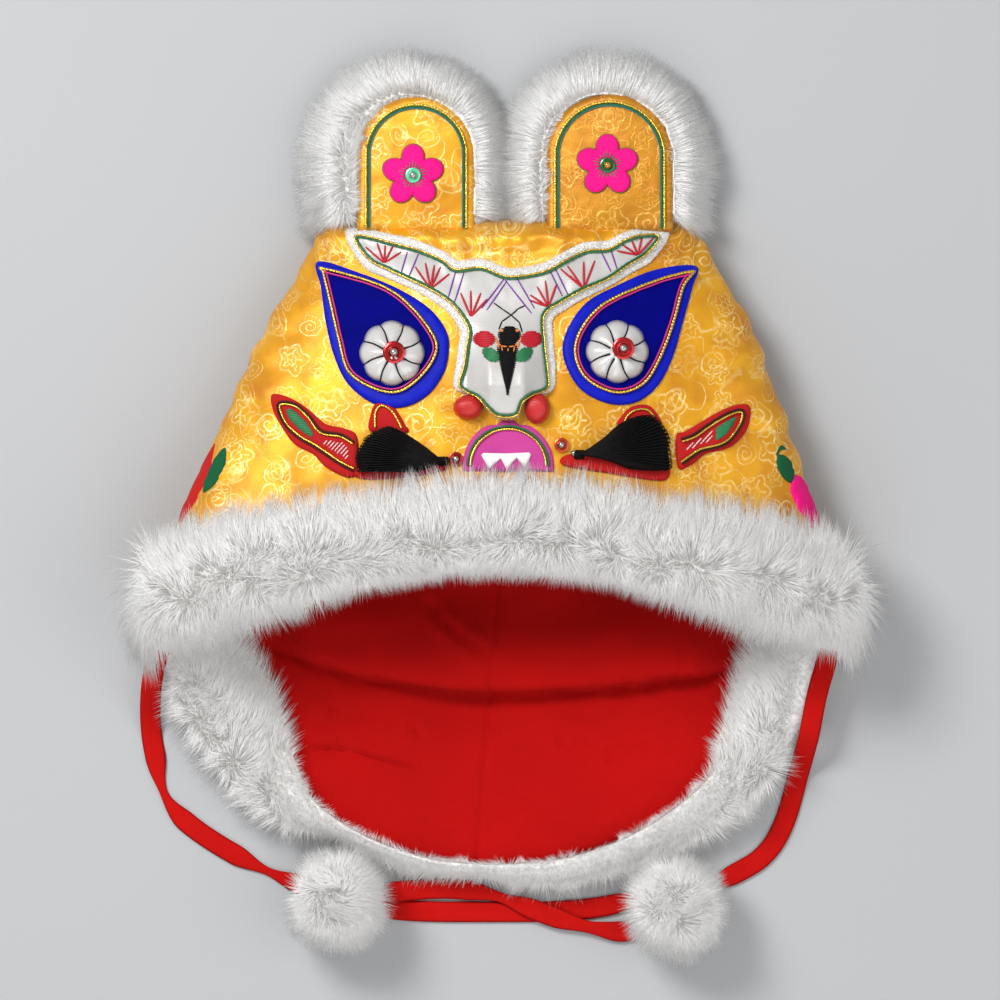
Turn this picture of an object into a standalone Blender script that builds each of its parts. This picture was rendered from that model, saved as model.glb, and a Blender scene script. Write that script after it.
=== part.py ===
"""Child's tiger hat, lying on its back with its face up.

Frame: metres, +X to the wearer's-face right as seen from above, +Y towards the ears, +Z up.
The origin is under the middle of the hat, on the surface that it lies on.
All sizes below are millimetres; MM turns them into metres when a mesh is made.
"""
import math

import bmesh
import bpy
from mathutils import Vector
from mathutils.bvhtree import BVHTree

MM = 0.001

# Crown shell, seen as rings from the closed top edge down to the rim
Y_TOP = 91.5
SECTION_COLUMNS = ("y", "half", "mid", "top", "belt")
SECTIONS = (
    (91.5, 61.0, 3.2, 11.0, 5.5),
    (88.5, 64.5, 3.4, 18.0, 8.0),
    (85.0, 67.0, 3.7, 23.5, 10.0),
    (80.0, 69.7, 4.0, 28.5, 12.0),
    (68.0, 76.6, 4.2, 34.5, 14.0),
    (53.0, 85.0, 4.0, 39.5, 15.5),
    (37.0, 92.3, 2.7, 43.5, 16.5),
    (20.0, 99.0, 2.3, 46.5, 17.0),
    (0.0, 106.3, 1.0, 49.0, 17.0),
    (-20.0, 114.5, 0.2, 50.5, 17.0),
    (-40.0, 119.8, 0.0, 51.0, 16.5),
    (-60.0, 122.5, 0.0, 51.0, 16.0),
    (-150.0, 122.5, 0.0, 51.0, 16.0),
)
ROUND_TOP = 2.3
ROUND_BACK = 4.0
FLAT_BACK = 1.06
WALL = 2.0
CLOTH_GAP = 0.35
LINING = 1.2

# Rim: the brow arch in front, the nape flap behind, meeting at the two corners
BROW_Y = -31.0
BROW_DROP = 25.0
BROW_POWER = 1.7
NAPE_DROP = 85.0
NAPE_POWER = 2.35
NAPE_LIFT = 5.4
LIFT_REACH = 48.0
LINING_SHORT = 1.2

# Fold across the lining, where it puckers above the nape
FOLD_Y = -79.0
FOLD_RISE = 18.5
FOLD_SPAN = 88.0
FOLD_HEIGHT = 6.5
FOLD_STEEP = 7.0
FOLD_TAIL = 42.0
FOLD_HALF = 76.0
FOLD_FADE = 16.0

RING_ANGLES = (0, 13, 26, 39, 52, 64, 74, 82, 90, 96, 103, 112, 124, 138, 152, 166, 180)
RING_STEPS = (0.0, 0.012, 0.04, 0.09, 0.18, 0.31, 0.45, 0.58, 0.67, 0.73, 0.86, 1.0)

# Fur trim: g runs from the rim up the cloth, n stands off its outer face
SLOT = 0.95
RIM_SLOT = 1.9
FRAME_STEPS = 10
FRAME_SLOPE = 0.38
# BAND_PROFILE columns: g_share, n_share, side, lock
BAND_PROFILE = (
    (1.03, 0.20, "out", 0),
    (1.16, 0.50, "out", 1),
    (0.88, 0.90, "out", -1),
    (0.50, 1.00, "out", 1),
    (0.12, 0.92, "out", -1),
    (-0.62, 0.55, "lip", 1),
    (-1.00, 0.00, "lip", -1),
    (-0.62, -0.62, "lip", 1),
    (0.20, 1.00, "in", -1),
    (0.66, 0.90, "in", 1),
    (1.06, 0.32, "in", -1),
)
LOCK_SHARE = 0.15
BROW_REACH = 30.0
BROW_PILE = 14.0
BROW_LIP = 10.5
BROW_REACH_IN = 7.0
BROW_PILE_IN = 4.0
BROW_STATIONS = 29
BROW_END = 84.0
NAPE_ANGLES = (91.5, 93.5, 96.0, 99.5, 103.0, 107.5, 112.0, 118.0, 124.0, 131.0, 138.0, 145.0,
               152.0, 159.0, 166.0, 173.0, 180.0)
NAPE_REACH = 16.0
NAPE_PILE = 12.0
NAPE_PILE_UNDER = 6.0
NAPE_REACH_IN = 24.0
NAPE_REACH_IN_MIDDLE = 4.5
NAPE_REACH_START = 0.38
NAPE_REACH_SPAN = 0.2
NAPE_PILE_IN = 7.5
NAPE_PILE_CORNER = 1.8
NAPE_LIP = 12.0
NAPE_LIP_MIDDLE = 11.0
NAPE_LIP_PRESSED = 3.2
PRESSED_ANGLES = (-178.0, -152.0)
PRESSED_FADE = 10.0

# Layers on the face, as heights over the crown
SEAT = 0.5
STACK = 0.35
FELT = 1.2
PANEL = 0.9
PATCH = 1.1
CORD_WIDE = 1.9
CORD_HIGH = 1.5
CORD_LIFT = 0.2
DRAPE_STEP = 11.0

# Brow and nose panel. Columns: x, y, and how far the felt stands out beyond it
PANEL_EDGE = (
    (-51.5, 85.6, 2.0), (-36.5, 82.5, 2.6), (-27.5, 80.0, 2.6), (-19.5, 76.5, 2.6),
    (-15.0, 73.3, 2.6), (-6.0, 74.0, 2.6), (3.0, 70.8, 2.6), (12.0, 71.5, 2.6),
    (18.0, 73.2, 2.6), (24.0, 76.5, 2.6), (31.5, 80.0, 2.6), (39.5, 80.7, 2.6),
    (45.5, 84.0, 2.2), (51.5, 85.8, 1.8), (58.3, 85.2, 2.0), (53.5, 78.5, 2.6),
    (46.5, 74.0, 2.4), (39.5, 69.2, 2.0), (30.0, 65.0, 2.4), (23.0, 61.0, 2.6),
    (17.0, 56.5, 2.6), (17.0, 47.0, 2.6), (18.0, 38.0, 2.4), (18.5, 31.0, 1.2),
    (15.5, 28.6, 0.3), (12.5, 27.6, 0.0), (9.0, 25.0, 0.0), (6.8, 20.3, 0.0),
    (0.0, 20.0, 0.0), (-4.0, 23.0, 0.0), (-7.5, 26.8, 0.0), (-11.5, 28.8, 0.3),
    (-14.3, 31.6, 1.2), (-12.5, 38.0, 2.4), (-11.5, 45.0, 2.6), (-11.0, 52.0, 2.6),
    (-16.5, 60.0, 2.6), (-23.5, 65.0, 2.6), (-31.5, 69.0, 2.4), (-39.0, 72.5, 2.6),
    (-46.5, 76.5, 2.6),
)
PANEL_CUTS_X = (-45.0, -36.5, -27.5, -19.5, -11.0, -3.0, 9.0, 17.0, 24.0, 31.5, 39.5, 47.0)
PANEL_CUTS_Y = (25.0, 31.0, 39.0, 48.0, 57.0, 65.0, 74.0, 79.0, 83.0)
FELT_CUTS_X = (-45.0, -36.5, -27.5, -19.5, -9.0, 3.0, 15.0, 24.0, 31.5, 39.5, 47.0)
FELT_CUTS_Y = (31.0, 43.0, 55.0, 65.0, 73.0, 79.0, 83.5)
NOSE_X = 3.0
NOSE_HALF = 14.5
NOSE_RIDGE = 6.0
NOSE_HIGH = 7.5
NOSE_ROOT_Y = 62.0
NOSE_PEAK_Y = 31.0
NOSE_TIP_Y = 20.0
NOSE_TIP_SHARE = 0.25

# Eyes: teardrop patches with a couched cord inside, a lobed button, a sequin and a bead
EYES = {
    "left": {
        "patch": ((-64.6, 76.0), (-50.0, 72.0), (-35.5, 66.0), (-24.5, 59.0), (-18.5, 51.0),
                  (-17.5, 44.0), (-19.5, 35.5), (-25.5, 27.5), (-34.5, 23.5), (-44.5, 25.0),
                  (-53.5, 32.0), (-58.5, 42.0), (-61.5, 54.0), (-63.3, 66.5)),
        "cord": ((-62.4, 73.4), (-42.5, 67.5), (-31.5, 60.0), (-22.5, 48.0), (-23.5, 40.0),
                 (-30.5, 32.0), (-37.5, 29.0), (-46.5, 31.5), (-53.5, 37.0), (-56.5, 47.0),
                 (-60.0, 62.0), (-62.4, 71.8)),
        "button": (-37.8, 43.0), "button_radius": 11.0, "sequin": (-37.0, 43.2),
    },
    "right": {
        "patch": ((71.0, 74.3), (56.5, 73.0), (42.0, 67.0), (31.5, 61.0), (25.0, 52.0),
                  (23.0, 43.0), (27.0, 33.0), (33.0, 27.5), (42.0, 24.5), (50.5, 26.0),
                  (57.5, 32.0), (62.5, 42.0), (66.0, 54.0), (69.5, 66.5)),
        "cord": ((69.4, 72.4), (56.5, 69.0), (38.5, 61.0), (30.0, 52.0), (27.5, 43.0),
                 (31.5, 34.0), (42.0, 29.0), (51.5, 32.0), (57.5, 41.0), (62.5, 54.0),
                 (66.0, 66.5), (69.0, 71.0)),
        "button": (42.5, 43.5), "button_radius": 10.8, "sequin": (44.6, 44.6),
    },
}
BUTTON_HIGH = 7.0
BUTTON_LOBES = 8
LOBE_SHARE = 0.09
SEQUIN_BIG = 4.0
SEQUIN_SMALL = 2.6
SEQUIN_THICK = 0.5
BEAD_RADIUS = 1.35
NOSE_BALLS = {"left": (-11.4, 22.4, 4.9, 4.5), "right": (14.2, 22.2, 4.5, 5.0)}
NOSE_BALL_HIGH = 7.0

# Mouth
MOUTH_X = 3.6
MOUTH_HALF = 16.2
MOUTH_TOP = 19.0
MOUTH_FOOT = 0.8
MOUTH_FLAT_Y = 17.3
MOUTH_PEAK_HALF = 3.0
MOUTH_CORD_SHARE = (0.86, 0.84)
MOUTH_CORD_FOOT = 2.0
TEETH_THICK = 0.8
TEETH = ((-6.0, 6.6), (-3.2, 1.4), (1.0, 5.4), (3.2, 1.2), (6.6, 5.6), (9.4, 1.6), (11.8, 6.8))

# Cheek appliques and thread tassels
CHEEKS = {
    "left": {
        "leaf": ((-80.6, 28.4), (-74.0, 27.0), (-67.5, 23.0), (-61.5, 17.8), (-55.0, 16.2),
                 (-50.2, 13.2), (-50.0, 1.2), (-51.5, -1.2), (-55.0, -1.0), (-61.5, 2.5),
                 (-66.0, 7.0), (-72.5, 10.5), (-77.0, 16.5), (-80.4, 23.0)),
        "cord": ((-51.4, 1.4), (-56.5, 4.0), (-64.5, 9.4), (-71.0, 13.2), (-76.0, 18.0),
                 (-78.2, 24.6), (-72.5, 24.6), (-67.5, 20.5), (-63.0, 15.0), (-56.0, 13.6),
                 (-51.4, 11.0)),
        "petal": ((-45.4, 18.4), (-44.4, 21.8), (-40.4, 23.4), (-37.0, 21.8), (-34.2, 18.6)),
        "tuft_head": (-19.6, 4.4), "tuft_reach": 29.5, "tuft_angles": (146.0, 192.0),
        "sequin": (-16.4, 5.0),
    },
    "right": {
        "leaf": ((90.0, 23.8), (86.0, 24.8), (79.5, 22.5), (72.5, 18.5), (66.5, 15.0),
                 (63.4, 13.4), (64.2, 2.0), (69.0, 3.2), (74.0, 7.0), (80.5, 8.5),
                 (85.0, 11.0), (89.2, 16.5)),
        "cord": ((65.4, 3.8), (68.0, 5.6), (72.5, 8.4), (79.0, 10.0), (83.5, 13.0),
                 (87.2, 19.0), (87.0, 22.4), (82.0, 21.2), (75.5, 17.4), (70.0, 13.6),
                 (65.4, 11.9)),
        "petal": ((46.0, 20.8), (48.6, 23.0), (53.0, 23.4), (56.0, 20.4), (56.6, 18.2)),
        "tuft_head": (28.8, 6.8), "tuft_reach": 31.0, "tuft_angles": (-12.0, 27.0),
        "sequin": (24.6, 9.0),
    },
}
TUFT_HIGH = 6.5
TUFT_STRANDS = 9
TUFT_FOOT = 0.8

# Side flowers, seen edge-on at the two sides: y span of each and how far they come round
SIDE_PETAL = {"left": (-18.5, -1.8), "right": (-19.0, -1.0)}
SIDE_LEAF = {"left": (-0.6, 9.0), "right": (0.2, 10.5)}
SIDE_THICK = 1.4
SIDE_ANGLES = (66.0, 88.0)

# Ears
EARS = {
    "left": {"x": -29.3, "root": 87.0, "half": 21.0, "tip": 135.5, "fur_x": -33.0, "fur_half": 33.5},
    "right": {"x": 40.0, "root": 86.6, "half": 22.6, "tip": 136.5, "fur_x": 38.9, "fur_half": 34.0},
}
EAR_THICK = 3.0
EAR_ROOT_Z = 22.2
EAR_TIP_Z = 11.0
EAR_FUR_ROOT = 92.6
EAR_FUR_TIP = 150.0
EAR_FUR_RIM_Z = 7.0
EAR_LOCK = 2.0
EAR_CORD_INSET = 3.8
FLOWER_RADIUS = 11.2
FLOWER_AT = {"left": (-30.5, 107.0), "right": (39.0, 110.5)}

# Chin ties and pompoms, laid on the surface
TIE_WIDE = 7.6
TIE_THICK = 1.2
LAY_STEPS = (-1.0, -0.5, 0.0, 0.5, 1.0)
LAY_FALL = 0.8
SKY = 60.0
TIES = {
    "left": ((-121.5, -63.0, 18.0), (-123.3, -70.0, 14.0), (-124.5, -78.0, 8.0),
             (-125.0, -86.0, 3.0), (-124.6, -94.0, 0.9), (-123.4, -101.0, 0.9),
             (-121.8, -110.0, 0.9), (-118.0, -119.0, 0.9), (-110.0, -127.0, 0.9),
             (-98.0, -135.0, 0.9), (-85.0, -142.0, 0.9), (-72.0, -147.5, 0.9),
             (-57.0, -152.5, 0.9), (-41.0, -156.2, 0.9), (-27.0, -157.4, 0.9),
             (-13.0, -157.6, 0.9), (6.0, -157.6, 0.9), (20.0, -157.4, 0.9),
             (36.0, -156.0, 0.9), (46.0, -153.8, 1.5), (54.4, -152.6, 3.2)),
    "right": ((118.6, -63.0, 18.0), (117.0, -70.0, 16.0), (115.0, -77.0, 12.0),
              (113.4, -84.0, 8.0), (112.0, -92.0, 4.0), (110.4, -99.0, 2.0),
              (108.6, -106.0, 0.9), (106.0, -116.0, 0.9), (102.4, -127.0, 0.9),
              (96.0, -137.0, 0.9), (86.0, -143.6, 0.9), (76.0, -148.6, 0.9),
              (66.0, -155.4, 0.9), (56.0, -161.8, 0.9), (46.0, -164.6, 1.3),
              (36.0, -163.6, 2.5), (25.0, -161.0, 2.5), (12.0, -156.4, 2.5),
              (0.5, -152.2, 2.5), (-10.0, -149.8, 2.2), (-21.0, -149.2, 1.4),
              (-34.0, -150.0, 2.6), (-45.4, -151.4, 2.7)),
}
TIE_POINTS = 34
POMPOMS = {"left": (-57.5, -155.0), "right": (64.0, -156.5)}
POMPOM_RADIUS = 16.4
POMPOM_LOCK = 1.5
POMPOM_FOOT = 2.1
POMPOM_CENTRE = 17.6

COLOURS = {
    "brocade": ((0.87, 0.49, 0.03), 0.42, 0.0),
    "brocade_shade": ((0.66, 0.33, 0.02), 0.42, 0.0),
    "lining_cotton": ((0.56, 0.012, 0.01), 0.9, 0.0),
    "white_fur": ((0.80, 0.79, 0.77), 0.95, 0.0),
    "white_felt": ((0.74, 0.72, 0.68), 0.95, 0.0),
    "white_satin": ((0.66, 0.64, 0.60), 0.4, 0.0),
    "blue_satin": ((0.012, 0.022, 0.45), 0.45, 0.0),
    "gold_cord": ((0.72, 0.47, 0.09), 0.35, 0.8),
    "green_cord": ((0.06, 0.25, 0.09), 0.5, 0.2),
    "pink_felt": ((0.87, 0.02, 0.29), 0.85, 0.0),
    "mouth_felt": ((0.72, 0.11, 0.40), 0.85, 0.0),
    "red_felt": ((0.62, 0.03, 0.02), 0.85, 0.0),
    "red_silk": ((0.66, 0.03, 0.02), 0.4, 0.0),
    "green_felt": ((0.02, 0.17, 0.05), 0.85, 0.0),
    "black_thread": ((0.012, 0.009, 0.007), 0.6, 0.0),
    "red_sequin": ((0.52, 0.02, 0.02), 0.2, 0.8),
    "green_sequin": ((0.10, 0.45, 0.22), 0.2, 0.8),
    "steel_bead": ((0.62, 0.62, 0.62), 0.2, 1.0),
    "red_cotton": ((0.60, 0.018, 0.012), 0.85, 0.0),
}


def clear_scene():
    """Remove every object that the file opens with."""
    for obj in list(bpy.data.objects):
        bpy.data.objects.remove(obj, do_unlink=True)


def material(name):
    """The Principled material of that name, made once."""
    found = bpy.data.materials.get(name)
    if found:
        return found
    colour, roughness, metallic = COLOURS[name]
    made = bpy.data.materials.new(name)
    made.use_nodes = True
    shader = made.node_tree.nodes["Principled BSDF"]
    shader.inputs["Base Color"].default_value = (*colour, 1.0)
    shader.inputs["Roughness"].default_value = roughness
    shader.inputs["Metallic"].default_value = metallic
    made.diffuse_color = (*colour, 1.0)
    return made


def smooth(share):
    """0 to 1 with a soft start and end."""
    share = min(1.0, max(0.0, share))
    return share * share * (3.0 - 2.0 * share)


def section(y):
    """Half width, middle, top and belt height of the crown's ring at y, on smooth curves."""
    rows = SECTIONS
    y = min(rows[0][0], max(rows[-1][0], y))
    low = next(i for i in range(len(rows) - 1) if y >= rows[i + 1][0])
    before, start = rows[max(low - 1, 0)], rows[low]
    end, after = rows[low + 1], rows[min(low + 2, len(rows) - 1)]
    span = end[0] - start[0]
    t = (y - start[0]) / span
    values = []
    for column in range(1, len(SECTION_COLUMNS)):
        slope_start = (end[column] - before[column]) / (end[0] - before[0])
        slope_end = (after[column] - start[column]) / (after[0] - start[0])
        values.append(
            (2 * t**3 - 3 * t**2 + 1) * start[column]
            + (t**3 - 2 * t**2 + t) * span * slope_start
            + (3 * t**2 - 2 * t**3) * end[column]
            + (t**3 - t**2) * span * slope_end
        )
    return values


def rim_y(angle):
    """Where the cloth ends at an angle round the ring; 0 is the brow, 180 the nape."""
    share = abs(math.sin(math.radians(angle)))
    if abs(angle) <= 90.0:
        return BROW_Y - BROW_DROP * share**BROW_POWER
    return BROW_Y - BROW_DROP - NAPE_DROP * (1.0 - share**NAPE_POWER)


def crown_point(angle, y, inset=0.0):
    """A point on the crown's outer face, or on the face that lies inset inside it."""
    half, mid, top, belt = section(y)
    share = math.sin(math.radians(angle))
    x = mid + (half - inset) * share
    if abs(angle) <= 90.0:
        dome = max(0.0, 1.0 - abs(share) ** ROUND_TOP) ** (1.0 / ROUND_TOP)
        return Vector((x, y, belt + (top - inset - belt) * dome))
    hollow = max(0.0, 1.0 - abs(share) ** ROUND_BACK) ** (1.0 / ROUND_BACK)
    drop = min(1.0, FLAT_BACK * hollow)
    lift = NAPE_LIFT * smooth(1.0 - (y - rim_y(angle)) / LIFT_REACH)
    lift *= smooth((abs(angle) - 90.0) / 26.0)
    return Vector((x, y, belt - (belt - inset) * drop + lift))


def crown_top(x, y):
    """Height of the crown's outer face over a plan point of its front."""
    half, mid, top, belt = section(y)
    share = min(1.0, abs(x - mid) / half)
    return belt + (top - belt) * (1.0 - share**ROUND_TOP) ** (1.0 / ROUND_TOP)


def lining_fold(point, angle):
    """Height that the fold across the lining adds at a point of its back half."""
    if abs(angle) <= 90.0:
        return 0.0
    along = point.y - (FOLD_Y + FOLD_RISE * (point.x / FOLD_SPAN) ** 2)
    rise = smooth(along / FOLD_STEEP) * smooth(1.0 - (along - FOLD_STEEP) / FOLD_TAIL)
    return FOLD_HEIGHT * rise * smooth((FOLD_HALF - abs(point.x)) / FOLD_FADE)


def make_object(name, points, faces, finish, is_round=True):
    """One closed body from points in millimetres, shaded smooth where it is round."""
    mesh = bpy.data.meshes.new(name)
    mesh.from_pydata([tuple(Vector(p) * MM) for p in points], [], faces)
    work = bmesh.new()
    work.from_mesh(mesh)
    bmesh.ops.triangulate(work, faces=[f for f in work.faces if len(f.verts) > 3])
    bmesh.ops.recalc_face_normals(work, faces=work.faces)
    if work.calc_volume(signed=True) < 0.0:
        bmesh.ops.reverse_faces(work, faces=work.faces)
    work.to_mesh(mesh)
    work.free()
    if is_round:
        mesh.shade_smooth()
        mesh.set_sharp_from_angle(angle=math.radians(50))
    mesh.materials.append(material(finish))
    obj = bpy.data.objects.new(name, mesh)
    bpy.context.collection.objects.link(obj)
    return obj


def grid_faces(rows, columns, closed_columns):
    """Quads between rows of points that lie one after another in one list."""
    faces = []
    across = columns if closed_columns else columns - 1
    for row in range(rows - 1):
        for column in range(across):
            after = (column + 1) % columns
            faces.append((row * columns + column, row * columns + after,
                          (row + 1) * columns + after, (row + 1) * columns + column))
    return faces


def make_shell(name, outer, inner, short, finish, folded):
    """The bag of cloth between two insets, closed at the top edge and open at the rim."""
    angles = list(RING_ANGLES) + [-a for a in reversed(RING_ANGLES[1:-1])]
    points = []
    for inset in (outer, inner):
        for step in RING_STEPS:
            for angle in angles:
                start = Y_TOP - inset
                y = start + (rim_y(angle) + short - start) * step
                point = crown_point(angle, y, inset)
                if folded:
                    point.z += lining_fold(point, angle)
                points.append(point)
    rows, columns = len(RING_STEPS), len(angles)
    faces = grid_faces(rows, columns, True)
    shift = rows * columns
    faces += [tuple(i + shift for i in reversed(face)) for face in faces]
    last = (rows - 1) * columns
    for column in range(columns):
        after = (column + 1) % columns
        faces.append((last + column, last + after, shift + last + after, shift + last + column))
    faces.append(tuple(range(columns)))
    faces.append(tuple(shift + i for i in reversed(range(columns))))
    return make_object(name, points, faces, finish)


def cloth_frame(angle, along, inset):
    """Point and outward normal of the cloth, that far up it from the rim, square to the rim.

    The point lies inset inside the outer face; the normal is the outer face's.
    """
    small = 0.5
    wide = math.radians(2.0 * small)
    turned, y = angle, rim_y(angle)
    for _ in range(FRAME_STEPS):
        across = crown_point(turned + small, y) - crown_point(turned - small, y)
        slope = (rim_y(turned + small) - rim_y(turned - small)) / across.length
        slope = max(-FRAME_SLOPE, min(FRAME_SLOPE, slope))
        forward = along / FRAME_STEPS / math.sqrt(1.0 + slope**2)
        y += forward
        turned -= math.degrees(forward * slope * wide / across.length)
        if abs(angle) <= 90.0:
            turned = max(-90.0, min(90.0, turned))
        else:
            turned = math.copysign(max(90.0, abs(turned)), angle)
    side = crown_point(turned + small, y) - crown_point(turned - small, y)
    down = crown_point(turned, y + small) - crown_point(turned, y - small)
    return crown_point(turned, y, inset), side.cross(down).normalized()


def fur_band(name, angles, sizes):
    """Fur trim folded over the rim: a C-shaped pile in staggered locks, with a slot for the cloth."""
    inside = WALL + CLOTH_GAP + LINING + SLOT
    points = []
    for station, angle in enumerate(angles):
        size = sizes(angle)
        ring = []
        for g_share, n_share, side, lock in BAND_PROFILE:
            tuft = 1.0 + LOCK_SHARE * lock * (1 if station % 2 else -1)
            if side == "out":
                ring.append((size["reach"] * g_share, SLOT + size["pile"] * n_share * tuft, 0.0))
            elif side == "in":
                ring.append((size["reach_in"] * g_share, -size["pile_in"] * n_share * tuft, inside))
            else:
                depth = size["pile"] if n_share > 0.0 else size["pile_in"]
                ring.append((size["lip"] * g_share * tuft, n_share * (depth + SLOT), inside / 2.0))
        ring += [(size["reach_in"], 0.0, inside), (size["reach_in"] / 2.0, 0.0, inside),
                 (-RIM_SLOT, 0.0, inside), (-RIM_SLOT, SLOT, 0.0), (size["reach"] / 2.0, SLOT, 0.0),
                 (size["reach"], SLOT, 0.0)]
        for g, n, inset in ring:
            centre, normal = cloth_frame(angle, g, inset)
            point = centre + normal * n
            point.z = max(0.0, point.z)
            points.append(point)
    columns = len(points) // len(angles)
    faces = grid_faces(len(angles), columns, True)
    last = (len(angles) - 1) * columns
    faces.append(tuple(range(columns)))
    faces.append(tuple(last + i for i in reversed(range(columns))))
    return make_object(name, points, faces, "white_fur")


def brow_sizes(angle):
    """Pile of the brow trim, which thins a little towards its two ends."""
    share = smooth((abs(angle) - 60.0) / 26.0)
    return {"reach": BROW_REACH, "pile": BROW_PILE - 2.0 * share, "lip": BROW_LIP + 2.0 * share,
            "reach_in": BROW_REACH_IN, "pile_in": BROW_PILE_IN - 1.6 * share}


def nape_sizes(angle):
    """Pile of the nape trim: full at the corners, pressed flat where the flap lies on it."""
    away = (abs(angle) - 90.0) / 90.0
    low, middle = smooth(away / 0.35), smooth((away - 0.35) / 0.5)
    grown = smooth((away - 0.12) / 0.4)
    inner = smooth((away - NAPE_REACH_START) / NAPE_REACH_SPAN)
    lip = NAPE_LIP + (NAPE_LIP_MIDDLE - NAPE_LIP) * middle
    turned = angle if angle < 0.0 else angle - 360.0
    outside = max(PRESSED_ANGLES[0] - turned, turned - PRESSED_ANGLES[1], 0.0)
    lip += (NAPE_LIP_PRESSED - lip) * smooth(1.0 - outside / PRESSED_FADE)
    return {"reach": NAPE_REACH, "pile": NAPE_PILE + (NAPE_PILE_UNDER - NAPE_PILE) * low,
            "lip": lip,
            "reach_in": NAPE_REACH_IN + (NAPE_REACH_IN_MIDDLE - NAPE_REACH_IN) * inner,
            "pile_in": NAPE_PILE_CORNER + (NAPE_PILE_IN - NAPE_PILE_CORNER) * grown}


def make_fur_bands():
    """The two fur trims, which meet at the corners with room for the ties between them.

    Returns the nape trim, which the ties lie on.
    """
    step = 2.0 * BROW_END / (BROW_STATIONS - 1)
    fur_band("brow_fur", [-BROW_END + step * i for i in range(BROW_STATIONS)], brow_sizes)
    angles = list(NAPE_ANGLES) + [-a for a in reversed(NAPE_ANGLES[:-1])]
    return fur_band("nape_fur", angles, nape_sizes)


def offset_outline(points, distances):
    """A closed outline moved outwards, a distance for each point; inwards where it is negative."""
    area = sum(a[0] * b[1] - b[0] * a[1] for a, b in zip(points, points[1:] + points[:1]))
    turn = 1.0 if area > 0.0 else -1.0
    moved = []
    for i, point in enumerate(points):
        here = Vector(point[:2])
        before = (here - Vector(points[i - 1][:2])).normalized()
        after = (Vector(points[(i + 1) % len(points)][:2]) - here).normalized()
        mean = Vector((before.y + after.y, -before.x - after.x)) * turn
        mean.normalize()
        spread = max(0.6, mean.dot(Vector((before.y, -before.x)) * turn))
        moved.append(tuple(here + mean * distances[i] / spread))
    return moved


def drape_slab(name, outline, surface, low, thick, finish, cuts=None):
    """A flat outline laid over a surface, from low above it to thick above that."""
    work = bmesh.new()
    work.faces.new([work.verts.new((x, y, 0.0)) for x, y in outline])
    for axis in (0, 1):
        values = [p[axis] for p in outline]
        places = cuts[axis] if cuts else ()
        if not cuts:
            count = int((max(values) - min(values)) / DRAPE_STEP)
            gap = (max(values) - min(values)) / (count + 1)
            places = [min(values) + gap * (i + 1) for i in range(count)]
        normal = (1.0, 0.0, 0.0) if axis == 0 else (0.0, 1.0, 0.0)
        for place in places:
            parts = list(work.verts) + list(work.edges) + list(work.faces)
            at = tuple(place * part for part in normal)
            bmesh.ops.bisect_plane(work, geom=parts, plane_co=at, plane_no=normal, dist=1e-4)
    bmesh.ops.remove_doubles(work, verts=work.verts, dist=0.05)
    bmesh.ops.triangulate(work, faces=work.faces)
    work.verts.ensure_lookup_table()
    count = len(work.verts)
    flat = [(v.co.x, v.co.y) for v in work.verts]
    upper = [tuple(v.index for v in f.verts) for f in work.faces]
    rim = [(e.verts[0].index, e.verts[1].index) for e in work.edges if e.is_boundary]
    work.free()
    points = [(x, y, surface(x, y) + low) for x, y in flat]
    points += [(x, y, surface(x, y) + low + thick(x, y)) for x, y in flat]
    faces = [tuple(reversed(face)) for face in upper]
    faces += [tuple(i + count for i in face) for face in upper]
    faces += [(a, b, b + count, a + count) for a, b in rim]
    return make_object(name, points, faces, finish, is_round=False)


def drape_dome(name, centre, radii, surface, low, high, finish, lobes=0, lobe=0.0, segments=16,
               steps=(0.55, 0.85, 1.0), power=2.0, turn=0.0):
    """A round or lobed cushion, disc or bead over a surface, thickest in its middle."""
    points = [(*centre, surface(*centre) + low), (*centre, surface(*centre) + low + high)]
    rings = []
    for step in steps:
        low_ring, high_ring = [], []
        for i in range(segments):
            angle = 2.0 * math.pi * i / segments + math.radians(turn)
            wave = 1.0 + lobe * math.cos(lobes * (angle - math.radians(turn))) if lobes else 1.0
            x = centre[0] + radii[0] * step * wave * math.cos(angle)
            y = centre[1] + radii[1] * step * wave * math.sin(angle)
            rise = high * max(0.0, 1.0 - (step * 0.97) ** power) ** (1.0 / power)
            base = surface(x, y) + low
            low_ring.append(len(points))
            points.append((x, y, base))
            if step < steps[-1]:
                high_ring.append(len(points))
                points.append((x, y, base + rise))
            else:
                high_ring.append(len(points))
                points.append((x, y, base + max(rise, 0.18 * high)))
        rings.append((low_ring, high_ring))
    faces = []
    for i in range(segments):
        after = (i + 1) % segments
        faces.append((0, rings[0][0][after], rings[0][0][i]))
        faces.append((1, rings[0][1][i], rings[0][1][after]))
        for (low_a, high_a), (low_b, high_b) in zip(rings, rings[1:]):
            faces.append((low_a[i], low_a[after], low_b[after], low_b[i]))
            faces.append((high_a[i], high_b[i], high_b[after], high_a[after]))
        faces.append((rings[-1][0][i], rings[-1][0][after], rings[-1][1][after], rings[-1][1][i]))
    return make_object(name, points, faces, finish)


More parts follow.
